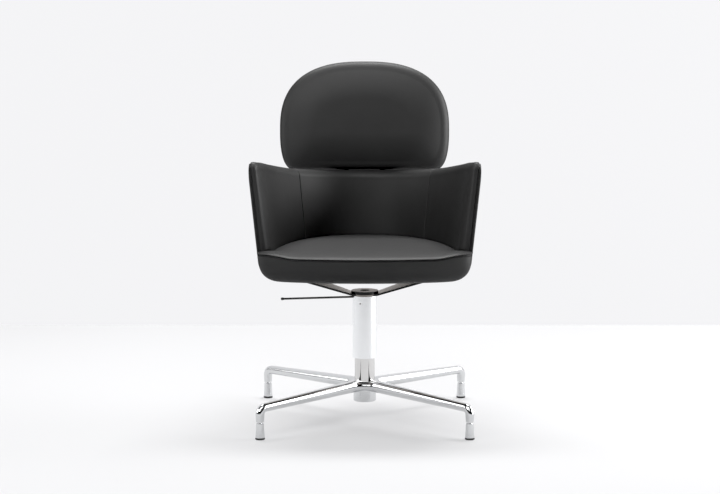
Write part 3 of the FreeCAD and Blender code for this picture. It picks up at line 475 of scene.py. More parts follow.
def make_piping(side):
    """A thin welt in the seam between the shell and the lining, up an arm's front and over its top."""
    run = 0.0 if side < 0 else wall.length
    inward = 1 if side < 0 else -1
    _, normal, place = wall.at(run)
    path = []
    low, top = LINING_FOOT + FOOT_LIFT, shell_rim(place) - ARM_CORNER

    def at(z, back):
        spot, outward, _ = wall.at(run + inward * back)
        gap = SHELL_THICKNESS - ARM_SLIM
        return spot + outward * (SHELL_LEAN * (z - SEAT_LEVEL) - gap) + Vector((0, 0, z))

    for i in range(PIPING_FRONT_STEPS + 1):
        path.append(at(lerp(low, top, i / PIPING_FRONT_STEPS), PIPING_SETBACK))
    for i in range(1, PIPING_CORNER_STEPS + 1):
        angle = math.pi / 2 * i / PIPING_CORNER_STEPS
        z = top + (ARM_CORNER - PIPING_SUNK) * math.sin(angle)
        path.append(at(z, PIPING_SETBACK + ARM_CORNER * (1 - math.cos(angle))))
    for i in range(1, PIPING_TOP_STEPS + 1):
        back = PIPING_SETBACK + ARM_CORNER + PIPING_TOP_RUN * i / PIPING_TOP_STEPS
        _, _, there = wall.at(run + inward * back)
        dive = PIPING_DIVE * ease(i, PIPING_DIVE_STEP, PIPING_TOP_STEPS)
        path.append(at(shell_rim(there) - PIPING_SUNK - dive, back))
    rings = []
    for i, spot in enumerate(path):
        along = (path[min(i + 1, len(path) - 1)] - path[max(i - 1, 0)]).normalized()
        aside = along.cross(normal).normalized()
        over = aside.cross(along)
        rings.append([spot + (aside * math.cos(2 * math.pi * k / PIPING_SIDES)
                              + over * math.sin(2 * math.pi * k / PIPING_SIDES)) * PIPING
                      for k in range(PIPING_SIDES)])
    return build("arm_piping_%s" % ("left" if side < 0 else "right"), *skin(rings))


# Seat cushion

OUTLINE_WALL = 150
OUTLINE_AHEAD = 16
OUTLINE_NOSE = 90
CORNER_PASSES = 30
BAND_INSET = 0.0008
STEP_OUT = 0.006
CORNER_LIFT = 0.0080


def beside_wall(z, thick):
    """How far a surface inside the shell's outer face by a thickness lies inside the plan line."""
    tilt = math.atan(SHELL_LEAN)
    centre_z = UNDERSIDE + SHELL_CORNER
    straight = SHELL_LEAN * (SEAT_LEVEL - z) + thick
    if z >= centre_z - SHELL_CORNER * math.sin(tilt):
        return straight
    inner = SHELL_CORNER - thick
    centre = SHELL_LEAN * (SEAT_LEVEL - centre_z + SHELL_CORNER * math.sin(tilt))
    centre += SHELL_CORNER * math.cos(tilt)
    return max(centre - math.sqrt(max(inner ** 2 - (centre_z - z) ** 2, 0.0)), straight)


def seat_outline(side_inset, front_inset, reach, step, back_share=0.0):
    """The seat's plan: the wall's curve drawn in, then out past the step to the bowed front."""
    centre_y = NOSE_RADIUS - NOSE_REACH
    radius = NOSE_RADIUS - front_inset
    points = []
    for i in range(OUTLINE_WALL + 1):
        place = 2 * i / OUTLINE_WALL - 1
        point, normal = plan(place)
        points.append(point - normal * (side_inset + padding(place) * back_share))
    last = points[-1]
    half = last.x + reach
    corner_y = centre_y - math.sqrt(radius ** 2 - half ** 2)
    ahead = [Vector((last.x, lerp(last.y, corner_y, i / OUTLINE_AHEAD), 0))
             for i in range(1, OUTLINE_AHEAD)]
    points = [Vector((-p.x, p.y, 0)) for p in reversed(ahead)] + points + ahead
    for point in points:
        point.x += math.copysign(reach * ease(point.y, step, step - STEP_OUT), point.x)
    turn = math.asin(half / radius)
    for i in range(OUTLINE_NOSE + 1):
        angle = lerp(turn, -turn, i / OUTLINE_NOSE)
        points.append(Vector((radius * math.sin(angle), centre_y - radius * math.cos(angle), 0)))
    count = len(points)
    for _ in range(CORNER_PASSES):
        points = [p * 0.5 + (points[i - 1] + points[(i + 1) % count]) * 0.25
                  if p.y < step - 2 * STEP_OUT else p for i, p in enumerate(points)]
    return points


LIP_ROOM = 0.006
LIP_LEDGE = 0.0005
FRONT_SETBACK = 0.001
GROOVE = 0.0032
GROOVE_LEVEL = 0.4285
GROOVE_START = GROOVE_LEVEL - 0.0025
BAND_TOP = GROOVE_LEVEL - 0.003
BAND_EVENNESS = 1.5
LIP_STEPS = 6
BAND_STEPS = 29
LIP_LEVEL = 0.4308
LIP_THICKNESS = 0.0012
LINING_CLEARANCE = 0.003
CROWN_SCALES = (1.004, 1.006, 1.004, 0.997, 0.99, 0.98, 0.965, 0.945, 0.92, 0.89, 0.85, 0.8, 0.74,
                0.67, 0.59, 0.5, 0.4, 0.3, 0.2, 0.1)
CROWN_POWER = 6
CROWN_LIP_RINGS = 3
CROWN_START = CUSHION_EDGE + 0.0015
CROWN_RISE = CUSHION_CROWN - 0.002
REACH_FADE = 0.1
CORNER_ACROSS = (0.165, 0.235)
CORNER_AHEAD = (-0.130, -0.165)
CORNER_LIFT_FROM = UNDERSIDE + 0.02


def make_cushion():
    """The cushion: a boxed front band under a crowned top that overhangs it at a seam."""
    lip_inset = SHELL_CORNER + SHELL_LIP + LIP_ROOM
    lip_top = UNDERSIDE + SHELL_THICKNESS + SOFT_GAP

    def drawn_in(z):
        return quarter_round(z - UNDERSIDE, SHELL_CORNER, SHELL_CORNER)

    levels = []
    for low, high, steps in ((UNDERSIDE, lip_top - LIP_LEDGE, LIP_STEPS),
                             (lip_top, BAND_TOP, BAND_STEPS)):
        for i in range(steps + 1):
            z = lerp(low, high, (i / steps) ** BAND_EVENNESS)
            levels.append((z, FRONT_SETBACK + drawn_in(z)))
    for angle in range(0, 181, 20):
        lift = (1 - math.cos(math.radians(angle))) / 2
        z = lerp(GROOVE_START, LIP_LEVEL, lift)
        levels.append((z, FRONT_SETBACK + GROOVE * math.sin(math.radians(angle))))
    rings = []
    for z, drawn in levels:
        groove = drawn - FRONT_SETBACK - drawn_in(z)
        side = lip_inset if z < lip_top else beside_wall(z, SHELL_THICKNESS + SOFT_GAP)
        reach = side - beside_wall(z, BAND_INSET + groove)
        step = ARM_TIP + drawn_in(z) - SOFT_GAP
        rings.append([p + Vector((0, 0, z)) for p in seat_outline(side, drawn, reach, step)])
    inner = WALL_THICKNESS + LINING_CLEARANCE
    middle = Vector((0, (WALL_FRONT - NOSE_REACH) / 4, 0))
    widest = inner - BAND_INSET - FRONT_SETBACK
    for i, scale in enumerate(CROWN_SCALES):
        lift = min(i / CROWN_LIP_RINGS, 1.0)
        rise = math.sqrt(max(1 - min(scale, 1.0) ** CROWN_POWER, 0.0))
        z = lerp(LIP_LEVEL + LIP_THICKNESS, CROWN_START, lift) + CROWN_RISE * rise
        reach = widest * max(1 - max(1 - scale, 0.0) / REACH_FADE, 0.0)
        outline = seat_outline(inner, FRONT_SETBACK, reach, ARM_TIP - SOFT_GAP, 1.0)
        rings.append([middle + (p - middle) * scale + Vector((0, 0, z)) for p in outline])
    for ring in rings:
        for point in ring:
            share = ease(abs(point.x), *CORNER_ACROSS) * ease(point.y, *CORNER_AHEAD)
            point.z += CORNER_LIFT * share * ease(point.z, CORNER_LIFT_FROM, GROOVE_LEVEL)
    return build("seat_cushion_leather", *skin(rings))


# Upper back pad

LEAN = Matrix.Rotation(-math.atan(SHELL_LEAN), 4, "X")
LEAN_ORIGIN = Vector((0, WALL_FRONT + WALL_DEPTH - SHELL_THICKNESS
                      + SHELL_LEAN * (RIM_BACK - SEAT_LEVEL), RIM_BACK))
PAD_JOINT = 0.0035
PAD_FRONT_DEPTH = 0.039
PAD_REAR_DEPTH = 0.036
PAD_ROLL_SHARE = 0.60
PAD_REAR_DROP = 0.012
PAD_FRONT_DROP = 0.0034
PAD_DROP_SHARE = 3
PAD_CROWN_MARGIN = 0.096
PAD_SEAM = 0.0022
PAD_SEAM_TURN = 0.35
PAD_SEAM_DEPTH = 0.0006
PAD_SEAM_LEDGE = 0.0025
PAD_CROWN_STEPS = 24
PAD_FACE_STEPS = 8
PAD_POINTS = 160


def pad_outline(margin, drop):
    """The pad's D: a broad round top over a nearly straight bottom, drawn in by a margin."""
    upper = (PAD_UPPER, PAD_TOP_POWER, PAD_TOP_POWER)
    lower = (PAD_LOWER + drop, PAD_BOTTOM_FLATNESS, PAD_BOTTOM_POWER)
    points = []
    for i in range(PAD_POINTS):
        angle = 2 * math.pi * i / PAD_POINTS
        sine, cosine = math.sin(angle), math.cos(angle)
        tall, across, power = upper if sine >= 0 else lower
        x = math.copysign(abs(cosine) ** (2 / across), cosine) * (PAD_HALF_WIDTH - margin)
        z = math.copysign(abs(sine) ** (2 / power), sine) * (tall - margin)
        points.append((x, PAD_LOWER + PAD_LIFT + z))
    return points


def pad_half(name, joint, depth):
    """One half of the pad from its seam to its crowned face; depth is negative to the front."""
    side = math.copysign(1.0, depth)
    ledge = side * PAD_SEAM_LEDGE
    profile = [(PAD_SEAM, 0.0), (PAD_SEAM * PAD_SEAM_TURN, side * PAD_SEAM_DEPTH), (0.0, ledge)]
    for turn in range(10, 81, 10):
        angle = math.radians(turn)
        profile.append((PAD_EDGE * (1 - math.cos(angle)),
                        ledge + (depth * PAD_ROLL_SHARE - ledge) * math.sin(angle)))
    start_margin, start_depth = profile[-1]
    for i in range(1, PAD_CROWN_STEPS + 1):
        share = i / PAD_CROWN_STEPS
        margin = lerp(start_margin, PAD_CROWN_MARGIN, share)
        profile.append((margin, lerp(start_depth, depth, 1 - (1 - share) ** 2)))
    rings = []
    full_drop = PAD_REAR_DROP if depth > 0 else PAD_FRONT_DROP
    for margin, y in profile:
        drop = full_drop * min(max(y / depth * PAD_DROP_SHARE, 0.0), 1.0)
        rings.append([LEAN_ORIGIN + LEAN @ Vector((x, joint + y, z))
                      for x, z in pad_outline(margin, drop)])
    points, faces = skin(rings, cap_end=False)
    count = len(rings[0])
    start = len(points) - count
    centre = sum((Vector(p) for p in rings[-1]), Vector()) / count
    for i in range(1, PAD_FACE_STEPS):
        points += [Vector(p).lerp(centre, i / PAD_FACE_STEPS) for p in rings[-1]]
        for j in range(count):
            k = (j + 1) % count
            low = start + (i - 1) * count
            faces.append((low + j, low + k, low + count + k, low + count + j))
    last = len(points) - count
    faces.append(tuple(range(last, last + count)))
    return build(name, points, faces)


# Star base: four oval spokes that flow into each other round the hub, each ending in an elbow

SPOKE_ROOT = (0.015, 0.0145, 0.0845)
SPOKE_TIP = (0.010, 0.0105, 0.0755)
SPOKE_ROUND = 2.3
CROTCH_RADIUS = 0.035
TAPER_START = 0.050
ELBOW = 0.015
STUB_RADIUS = 0.0092
STUB_LOW = STAR_LOW.z
STUB_STEPS = 6
ELBOW_STEPS = 12
SPOKE_STEPS = 32
SECTION_STEPS = 12
CROTCH_STEPS = 12
HUB_RADIUS = 0.028
HUB_LOW = 0.0445
HUB_CHAMFER = 0.0012
TUBE_RADIUS = TUBE_HIGH.x
BORE_TOP = STAR_HIGH.z + 0.02
THROAT_RADIUS = 0.011
THROAT_TOP = TUBE_LOW.z + 0.001
WELD_DISTANCE = 0.00002
SLIVER_LENGTH = 0.00001


def spoke_at(run):
    """Half width, half height and centre height of a spoke at a distance from the column."""
    share = min(max((run - TAPER_START) / (FOOT_CIRCLE - ELBOW - TAPER_START), 0.0), 1.0)
    return tuple(lerp(a, b, share) for a, b in zip(SPOKE_ROOT, SPOKE_TIP))


def spoke_stations(start):
    """Stations of a spoke from its foot in: distance, height, which way is up, half sizes."""
    out = []
    bend_z = SPOKE_TIP[2] - ELBOW
    for i in range(STUB_STEPS + 1):
        share = i / STUB_STEPS
        half = lerp(STUB_RADIUS, SPOKE_TIP[0], share)
        tall = lerp(STUB_RADIUS, SPOKE_TIP[1], share)
        out.append((FOOT_CIRCLE, lerp(STUB_LOW, bend_z, share), (1.0, 0.0), half, tall))
    for i in range(1, ELBOW_STEPS + 1):
        angle = math.pi / 2 * (1 - i / ELBOW_STEPS)
        out.append((FOOT_CIRCLE - ELBOW + ELBOW * math.sin(angle), bend_z + ELBOW * math.cos(angle),
                    (math.sin(angle), math.cos(angle)), SPOKE_TIP[0], SPOKE_TIP[1]))
    for i in range(1, SPOKE_STEPS + 1):
        run = lerp(FOOT_CIRCLE - ELBOW, start, i / SPOKE_STEPS)
        half, tall, z = spoke_at(run)
        out.append((run, z, (0.0, 1.0), half, tall))
    return out


def star_patch(turn, upper):
    """The star's skin between two neighbouring spokes, above or below their widest line."""
    first = math.radians(SPOKE_ANGLE + turn)
    one = Vector((math.cos(first), math.sin(first), 0))
    two = Vector((-one.y, one.x, 0))
    rows = []
    for i in range(SECTION_STEPS + 1):
        angle = math.pi / 2 * i / SECTION_STEPS
        wide = math.sin(angle) ** (2 / SPOKE_ROUND)
        tall = upper * math.cos(angle) ** (2 / SPOKE_ROUND) if i < SECTION_STEPS else 0.0
        reach = CROTCH_RADIUS * wide
        corner = SPOKE_ROOT[0] * wide + reach

        def leg(along, aside):
            made = []
            for run, z, (out, up), half, height in spoke_stations(corner):
                lift = height * tall
                point = along * (run + out * lift) + aside * (half * wide)
                made.append(point + Vector((0, 0, z + up * lift)))
            return made

        row = leg(one, two)
        for k in range(1, CROTCH_STEPS):
            bend = math.pi / 2 * k / CROTCH_STEPS
            a, b = corner - reach * math.sin(bend), corner - reach * math.cos(bend)
            row.append(one * a + two * b + Vector((0, 0, SPOKE_ROOT[2] + SPOKE_ROOT[1] * tall)))
        row += reversed(leg(two, one))
        rows.append(row)
    return rows


def lathe(profile, centre):
    """Points and faces turned from radius and height pairs about an upright axis."""
    angles = [2 * math.pi * i / LATHE_SEGMENTS for i in range(LATHE_SEGMENTS)]
    rings = []
    for radius, z in profile:
        rings.append([Vector((centre[0] + radius * math.cos(angle),
                              centre[1] + radius * math.sin(angle), z)) for angle in angles])
    return skin(rings)


def carve(piece, tools):
    """Fuses or cuts other closed pieces, and keeps only the result."""
    for tool, operation in tools:
        change = piece.modifiers.new("carve", "BOOLEAN")
        change.operation = operation
        change.solver = "EXACT"
        change.object = tool
    result = bpy.data.meshes.new_from_object(
        piece.evaluated_get(bpy.context.evaluated_depsgraph_get()))
    piece.modifiers.clear()
    piece.data = result
    for tool, _ in tools:
        bpy.data.objects.remove(tool)
    result.shade_smooth()
    result.set_sharp_from_angle(angle=math.radians(CAST_SHARP_ANGLE))


def make_star():
    """The cast star with the collar under its hub, bored for the column."""
    points, faces = [], []
    for turn in (0, 90, 180, 270):
        for upper in (1.0, -1.0):
            rows = star_patch(turn, upper)
            count = len(rows[0])
            base = len(points)
            points += [p for row in rows for p in row]
            for i in range(len(rows) - 1):
                for j in range(count - 1):
                    low = base + i * count + j
                    face = (low, low + 1, low + count + 1, low + count)
                    faces.append(face if upper < 0 else tuple(reversed(face)))
    star = build("base_star_cast", points, faces)
    work = bmesh.new()
    work.from_mesh(star.data)
    bmesh.ops.remove_doubles(work, verts=work.verts, dist=WELD_DISTANCE)
    bmesh.ops.dissolve_degenerate(work, edges=work.edges, dist=SLIVER_LENGTH)
    bmesh.ops.holes_fill(work, edges=work.edges, sides=0)
    bmesh.ops.recalc_face_normals(work, faces=work.faces)
    work.to_mesh(star.data)
    work.free()
    axis = (0, 0)
    collar = build("collar", *lathe([
        (HUB_RADIUS - HUB_CHAMFER, HUB_LOW), (HUB_RADIUS, HUB_LOW + HUB_CHAMFER),
        (HUB_RADIUS, SPOKE_ROOT[2])], axis))
    bore = build("bore", *lathe([(TUBE_RADIUS, TUBE_LOW.z), (TUBE_RADIUS, BORE_TOP)], axis))
    throat = build("throat", *lathe([(THROAT_RADIUS, 0.0), (THROAT_RADIUS, THROAT_TOP)], axis))
    carve(star, [(collar, "UNION"), (bore, "DIFFERENCE"), (throat, "DIFFERENCE")])
    return star


# Levelling feet

FOOT_NECK = 0.0024
NECK_DEPTH = 0.0036
NECK_SLOPE = 0.0002
FOOT_CHAMFER = 0.0007
FOOT_BAND = 0.003
FOOT_TAPER = 0.8
FOOT_TAPER_STEPS = 8


def make_feet():
    """The polished cups of the levelling feet, each with a narrow neck under the spoke."""
    feet = {}
    low, high = FOOT_LOW.z, FOOT_HIGH.z
    wide = (FOOT_HIGH.x - FOOT_LOW.x) / 2
    slim = STUB_RADIUS
    shoulder = high - FOOT_NECK
    band_top, taper_top = low + FOOT_BAND, shoulder - FOOT_CHAMFER
    for name, turn in (("back_right", 0), ("back_left", 90), ("front_left", 180),
                       ("front_right", 270)):
        angle = math.radians(SPOKE_ANGLE + turn)
        centre = (FOOT_CIRCLE * math.cos(angle), FOOT_CIRCLE * math.sin(angle))
        profile = [(wide - FOOT_CHAMFER, low), (wide, low + FOOT_CHAMFER), (wide, band_top)]
        for i in range(1, FOOT_TAPER_STEPS + 1):
            share = i / FOOT_TAPER_STEPS
            profile.append((lerp(wide, slim, share ** FOOT_TAPER), lerp(band_top, taper_top, share)))
        profile += [(slim - FOOT_CHAMFER, shoulder), (slim - NECK_DEPTH, shoulder + NECK_SLOPE),
                    (slim - NECK_DEPTH, high)]
        feet[name] = build("foot_%s_cup" % name, *lathe(profile, centre))
    return feet


# Filling: a short cloth run under pressure, of which one smooth swell is kept

FILLING_FRAMES = 20
FILLING_PRESSURE = 4.0
FILLING_QUALITY = 2
LEATHER_MASS = 0.3
SWELL_ORDER = 4
CUSHION_SWELL = 0.0006
PAD_FRONT_SWELL = 0.0015
PAD_REAR_SWELL = 0.0012
CROWN_FREE_FROM = CUSHION_EDGE + 0.001
CROWN_FREE_ABOVE = CUSHION_EDGE + 0.006
PAD_FREE_RANGE = (0.004, 0.020)


def even_out(mesh, moves):
    """One smooth swell along the normals from a cloth run's moves: thick leather does not crease."""
    spots = np.array([vertex.co[:] for vertex in mesh.vertices])
    normals = np.array([vertex.normal[:] for vertex in mesh.vertices])
    swell = np.einsum("ij,ij->i", np.array([move[:] for move in moves]), normals)
    across, along = np.argsort(np.ptp(spots, axis=0))[-2:]
    middle = (spots.max(axis=0) + spots.min(axis=0)) / 2
    u, v = ((spots - middle) / np.ptp(spots, axis=0) * 2)[:, [across, along]].T
    terms = np.stack([u ** i * v ** j for i in range(SWELL_ORDER + 1)
                      for j in range(SWELL_ORDER + 1 - i)], axis=1)
    swell = terms @ np.linalg.lstsq(terms, swell, rcond=None)[0]
    return [Vector(normal * amount) for normal, amount in zip(normals, swell)]


def fill(piece, most, loose):
    """Swells a padded piece by most or less; loose says how free each of its points is."""
    before = [vertex.co.copy() for vertex in piece.data.vertices]
    held = piece.vertex_groups.new(name="held")
    for i, spot in enumerate(before):
        held.add([i], 1.0 - loose(spot), "REPLACE")
    cloth = piece.modifiers.new("filling", "CLOTH")
    cloth.settings.quality = FILLING_QUALITY
    cloth.settings.mass = LEATHER_MASS
    cloth.settings.use_pressure = True
    cloth.settings.uniform_pressure_force = FILLING_PRESSURE
    cloth.settings.vertex_group_mass = "held"
    cloth.settings.effector_weights.gravity = 0.0
    cloth.point_cache.frame_start = 1
    cloth.point_cache.frame_end = FILLING_FRAMES
    for step in range(1, FILLING_FRAMES + 1):
        bpy.context.scene.frame_set(step)
    swollen = piece.evaluated_get(bpy.context.evaluated_depsgraph_get()).data
    after = [vertex.co.copy() for vertex in swollen.vertices]
    piece.modifiers.clear()
    piece.vertex_groups.clear()
    bpy.context.scene.frame_set(1)
    moves = even_out(piece.data, [b - a for a, b in zip(before, after)])
    moves = [move * loose(spot) for spot, move in zip(before, moves)]
    share = min(1.0, most / max(move.length for move in moves))
    for vertex, spot, move in zip(piece.data.vertices, before, moves):
        vertex.co = spot + move * share
    piece.data.update()


def crown_share(spot):
    """The cushion's top is free, its band and seam are held."""
    return ease(spot.z, CROWN_FREE_FROM, CROWN_FREE_ABOVE)


def pad_share(side):
    """A half of the pad is free away from its seam."""
    def share(spot):
        depth = (LEAN.inverted() @ (spot - LEAN_ORIGIN)).y - PAD_JOINT
        return ease(side * depth, *PAD_FREE_RANGE)
    return share


shell = make_shell()
linings = make_linings()
piping = [make_piping(side) for side in (-1, 1)]
cushion = make_cushion()
pad_front = pad_half("pad_front_leather", PAD_JOINT, -PAD_FRONT_DEPTH)
pad_rear = pad_half("pad_rear_leather", PAD_JOINT + SOFT_GAP, PAD_REAR_DEPTH)
star = make_star()
feet = make_feet()

fill(cushion, CUSHION_SWELL, crown_share)
fill(pad_front, PAD_FRONT_SWELL, pad_share(-1))
fill(pad_rear, PAD_REAR_SWELL, pad_share(1))


# Finishes

# A Mix node's sockets for colours go by number, because its other kinds share their names
MIX_FACTOR, MIX_FIRST, MIX_SECOND, MIX_RESULT = 0, 6, 7, 2


class Value:
    """A shader socket whose arithmetic adds Math nodes."""

    def __init__(self, finish, socket):
        self.finish = finish
        self.socket = socket

    def maths(self, operation, first, second):
        return self.finish.node("ShaderNodeMath", {"operation": operation}, {0: first, 1: second})

    def __add__(self, other):
        return self.maths("ADD", self, other)

    def __radd__(self, other):
        return self.maths("ADD", other, self)

    def __sub__(self, other):
        return self.maths("SUBTRACT", self, other)

    def __rsub__(self, other):
        return self.maths("SUBTRACT", other, self)

    def __mul__(self, other):
        return self.maths("MULTIPLY", self, other)

    def __rmul__(self, other):
        return self.maths("MULTIPLY", other, self)


class Finish:
    """A material under construction, with its Principled shader."""

    def __init__(self, name, **fixed):
        self.material = bpy.data.materials.new(name)
        self.material.use_nodes = True
        self.tree = self.material.node_tree
        self.shader = self.tree.nodes["Principled BSDF"]
        for socket, value in fixed.items():
            self.shader.inputs[socket.replace("_", " ")].default_value = value
        self.place = self.node("ShaderNodeTexCoord", out="Object")

    def node(self, kind, settings=None, inputs=None, out=0):
        """Adds a node with its settings and its sockets' values or links; gives one output."""
        made = self.tree.nodes.new(kind)
        for name, value in (settings or {}).items():
            setattr(made, name, value)
        for name, value in (inputs or {}).items():
            self.feed(made.inputs[name], value)
        return Value(self, made.outputs[out])

    def feed(self, socket, value):
        if isinstance(value, Value):
            self.tree.links.new(value.socket, socket)
        else:
            socket.default_value = value

    def noise(self, scale, detail=2.0, roughness=0.5, place=None):
        return self.node("ShaderNodeTexNoise", None, {
            "Vector": place or self.place, "Scale": scale, "Detail": detail, "Roughness": roughness})

    def cells(self, scale):
        return self.node("ShaderNodeTexVoronoi", {"feature": "F1"},
                         {"Vector": self.place, "Scale": scale}, "Distance")

    def mix(self, factor, first, second):
        return self.node("ShaderNodeMix", {"data_type": "RGBA"}, {
            MIX_FACTOR: factor, MIX_FIRST: first, MIX_SECOND: second}, MIX_RESULT)

    def bump(self, height, strength, distance):
        made = self.node("ShaderNodeBump", None, {
            "Height": height, "Strength": strength, "Distance": distance}, "Normal")
        self.set("Normal", made)

    def set(self, socket, value):
        self.feed(self.shader.inputs[socket], value)


def grey(level, warm=0.0):
    """A grey, a little warmer or cooler than neutral."""
    return (level * (1 + warm), level, level * (1 - warm), 1.0)


def black_leather():
    """Smooth black hide: a fine pebble grain, soft shine that wanders, faintly paler in patches."""
    finish = Finish("black_leather", Specular_IOR_Level=0.50)
    pebbles = finish.cells(900.0)
    pores = finish.noise(2600.0, 3.0, 0.6)
    wander = finish.noise(14.0, 3.0, 0.55)
    finish.set("Base Color", finish.mix(wander, grey(0.024), grey(0.032)))
    finish.set("Roughness", 0.49 + wander * 0.08 + pebbles * 0.05)
    finish.bump(pebbles * 0.7 + pores * 0.3, 0.16, 0.0004)
    return finish.material


def polished_aluminium():
    """Cast aluminium, buffed: bright, with the faint drag of the mop."""
    finish = Finish("polished_aluminium", Metallic=1.0)
    drag = finish.noise(60.0, 4.0, 0.6)
    fine = finish.noise(900.0, 2.0)
    finish.set("Base Color", finish.mix(drag, grey(0.64, -0.012), grey(0.73, -0.012)))
    finish.set("Roughness", 0.11 + drag * 0.07)
    finish.bump(fine, 0.02, 0.0002)
    return finish.material


def chrome():
    """Bright chrome plate on tube."""
    finish = Finish("chrome", Metallic=1.0)
    haze = finish.noise(40.0, 3.0)
    finish.set("Base Color", finish.mix(haze, grey(0.62, 0.008), grey(0.68, 0.008)))
    finish.set("Roughness", 0.06 + haze * 0.05)
    return finish.material


def satin_sleeve():
    """The cover sleeve: pale anodised aluminium, softly satined along its length."""
    finish = Finish("satin_sleeve", Metallic=1.0)
    stretched = finish.node("ShaderNodeMapping", None, {"Vector": finish.place,
                                                        "Scale": (1.0, 1.0, 0.02)})
    drawn = finish.noise(1400.0, 2.0, 0.5, stretched)
    finish.set("Base Color", finish.mix(drawn, grey(0.86, -0.012), grey(0.92, -0.012)))
    finish.set("Roughness", 0.17 + drawn * 0.08)
    finish.bump(drawn, 0.03, 0.0002)
    return finish.material


def metal(name, level, low, high, scale, warm=0.0):
    """Plain metal of a brightness, whose shine wanders between two roughnesses."""
    finish = Finish(name, Metallic=1.0)
    haze = finish.noise(scale, 4.0, 0.6)
    finish.set("Base Color", finish.mix(haze, grey(level * 0.9, warm), grey(level * 1.08, warm)))
    finish.set("Roughness", low + haze * (high - low))
    finish.bump(haze, 0.03, 0.0002)
    return finish.material


def satin_plate():
    """The wing plate: warm satin nickel on its flat faces; its upright sides, the disc's rim among
    them, are painted near-black as a painted reflection of the dark surroundings.
    """
    finish = Finish("satin_plate", Metallic=0.7)
    haze = finish.noise(160.0, 4.0, 0.6)
    normal = finish.node("ShaderNodeNewGeometry", out="True Normal")
    upright = finish.node("ShaderNodeSeparateXYZ", None, {0: normal}, "Z")
    flat = finish.node("ShaderNodeMapRange", None, {
        "Value": finish.node("ShaderNodeMath", {"operation": "ABSOLUTE"}, {0: upright}),
        "From Min": 0.5, "From Max": 0.7})
    face = finish.mix(haze, (0.58, 0.52, 0.47, 1.0), (0.70, 0.64, 0.58, 1.0))
    # Painted reflection: faces that stand upright get near-black in place of the metal's colour,
    # standing in for the dark surroundings they would mirror.
    finish.set("Base Color", finish.mix(1 - flat, face, grey(0.03)))
    finish.set("Roughness", 0.24 + haze * 0.14)
    finish.bump(haze, 0.03, 0.0002)
    return finish.material


def moulded(name, level, low, high):
    """Moulded plastic or rubber with a fine sparked texture."""
    finish = Finish(name)
    spark = finish.noise(1800.0, 2.0)
    finish.set("Base Color", finish.mix(spark, grey(level * 0.85), grey(level * 1.2)))
    finish.set("Roughness", low + spark * (high - low))
    finish.bump(spark, 0.12, 0.0003)
    return finish.material


def plywood(name, pale, dark):
    """Plywood: long grain on its faces, thin dark glue lines between the plies on its edges."""
    finish = Finish(name)
    stretched = finish.node("ShaderNodeMapping", None, {"Vector": finish.place,
                                                        "Scale": (1.0, 0.06, 1.0)})
    grain = finish.noise(260.0, 4.0, 0.6, stretched)
    face = finish.mix(grain, dark, pale)
    height = finish.node("ShaderNodeSeparateXYZ", None, {0: finish.place}, "Z")
    plies = finish.node("ShaderNodeMath", {"operation": "PINGPONG"}, {0: height, 1: 0.0015})
    band = finish.node("ShaderNodeMath", {"operation": "LESS_THAN"}, {0: plies, 1: 0.0003})
    edge = finish.mix(band, dark, tuple(c * 0.35 for c in dark[:3]) + (1.0,))
    normal = finish.node("ShaderNodeNewGeometry", out="Normal")
    upright = finish.node("ShaderNodeSeparateXYZ", None, {0: normal}, "Z")
    flat = finish.node("ShaderNodeMath", {"operation": "ABSOLUTE"}, {0: upright})
    finish.set("Base Color", finish.mix(flat, edge, face))
    finish.set("Roughness", 0.55 + grain * 0.15)
    finish.bump(grain, 0.08, 0.0004)
    return finish.material


LEATHER = black_leather()
ALUMINIUM = polished_aluminium()
CHROME = chrome()
SLEEVE = satin_sleeve()
DARK_STEEL = metal("dark_steel", 0.09, 0.28, 0.42, 300.0)
GROUND_STEEL = metal("ground_steel", 0.56, 0.18, 0.30, 400.0)
ZINC = metal("zinc_plate", 0.60, 0.25, 0.40, 500.0, 0.03)
PLATE = satin_plate()
RUBBER = moulded("black_rubber", 0.025, 0.55, 0.75)
PLASTIC = moulded("black_plastic", 0.03, 0.40, 0.55)
PLYWOOD = plywood("birch_plywood", (0.74, 0.58, 0.40, 1.0), (0.60, 0.44, 0.28, 1.0))
STAINED = plywood("stained_plywood", (0.060, 0.050, 0.043, 1.0), (0.030, 0.025, 0.022, 1.0))

SLOT_FINISH = {
    "polished_aluminium": ALUMINIUM, "chrome_tube": CHROME, "black_rubber": RUBBER,
    "zinc_steel": ZINC, "ground_steel": GROUND_STEEL, "black_steel": DARK_STEEL,
    "black_plastic": PLASTIC, "birch_plywood": PLYWOOD, "black_leather": LEATHER,
    "leather_padding": LEATHER}
NODE_FINISH = {"cover_sleeve": SLEEVE, "wing_plate": PLATE, "mounting_board": STAINED}


def dress(piece, material):
    """Gives a piece one finish all over."""
    piece.data.materials.clear()
    piece.data.materials.append(material)


for part in frame["record"]["subparts"]:
    node = part["node"]
    finish = NODE_FINISH.get(node) or SLOT_FINISH[part["material_slot"]]
    dress(nodes[node], finish)

for piece, body, slot, replaced in (
        (shell, "seat", "black_leather", "outer_shell"),
        (linings["left"], "seat", "leather_padding", "lining_left"),
        (linings["back"], "seat", "leather_padding", "lining_back"),
        (linings["right"], "seat", "leather_padding", "lining_right"),
        (cushion, "seat", "leather_padding", "seat_cushion"),
        (pad_front, "seat", "leather_padding", "pad_front"),
        (pad_rear, "seat", "leather_padding", "pad_rear")):
    dress(piece, LEATHER)
    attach(piece, body)
    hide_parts(replaced)

for piece in piping:
    dress(piece, LEATHER)
    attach(piece, "seat")

metal_pieces = [(star, "base", "base_star")]
metal_pieces += [(cup, "leveller_" + name, "foot_" + name) for name, cup in feet.items()]
for piece, body, replaced in metal_pieces:
    dress(piece, ALUMINIUM)
    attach(piece, body)
    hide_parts(replaced)


# Stage, light and camera

FLOOR_END = 1.36
SHEET_REACH = 6
BACKDROP_LOW = -0.2
BACKDROP_HIGH = 5
FLOOR_COLOUR = (0.36, 0.36, 0.364)
FLOOR_GLOW = 0.94
BACKDROP_COLOUR = (0.05, 0.05, 0.0508)
BACKDROP_GLOW = 17.0


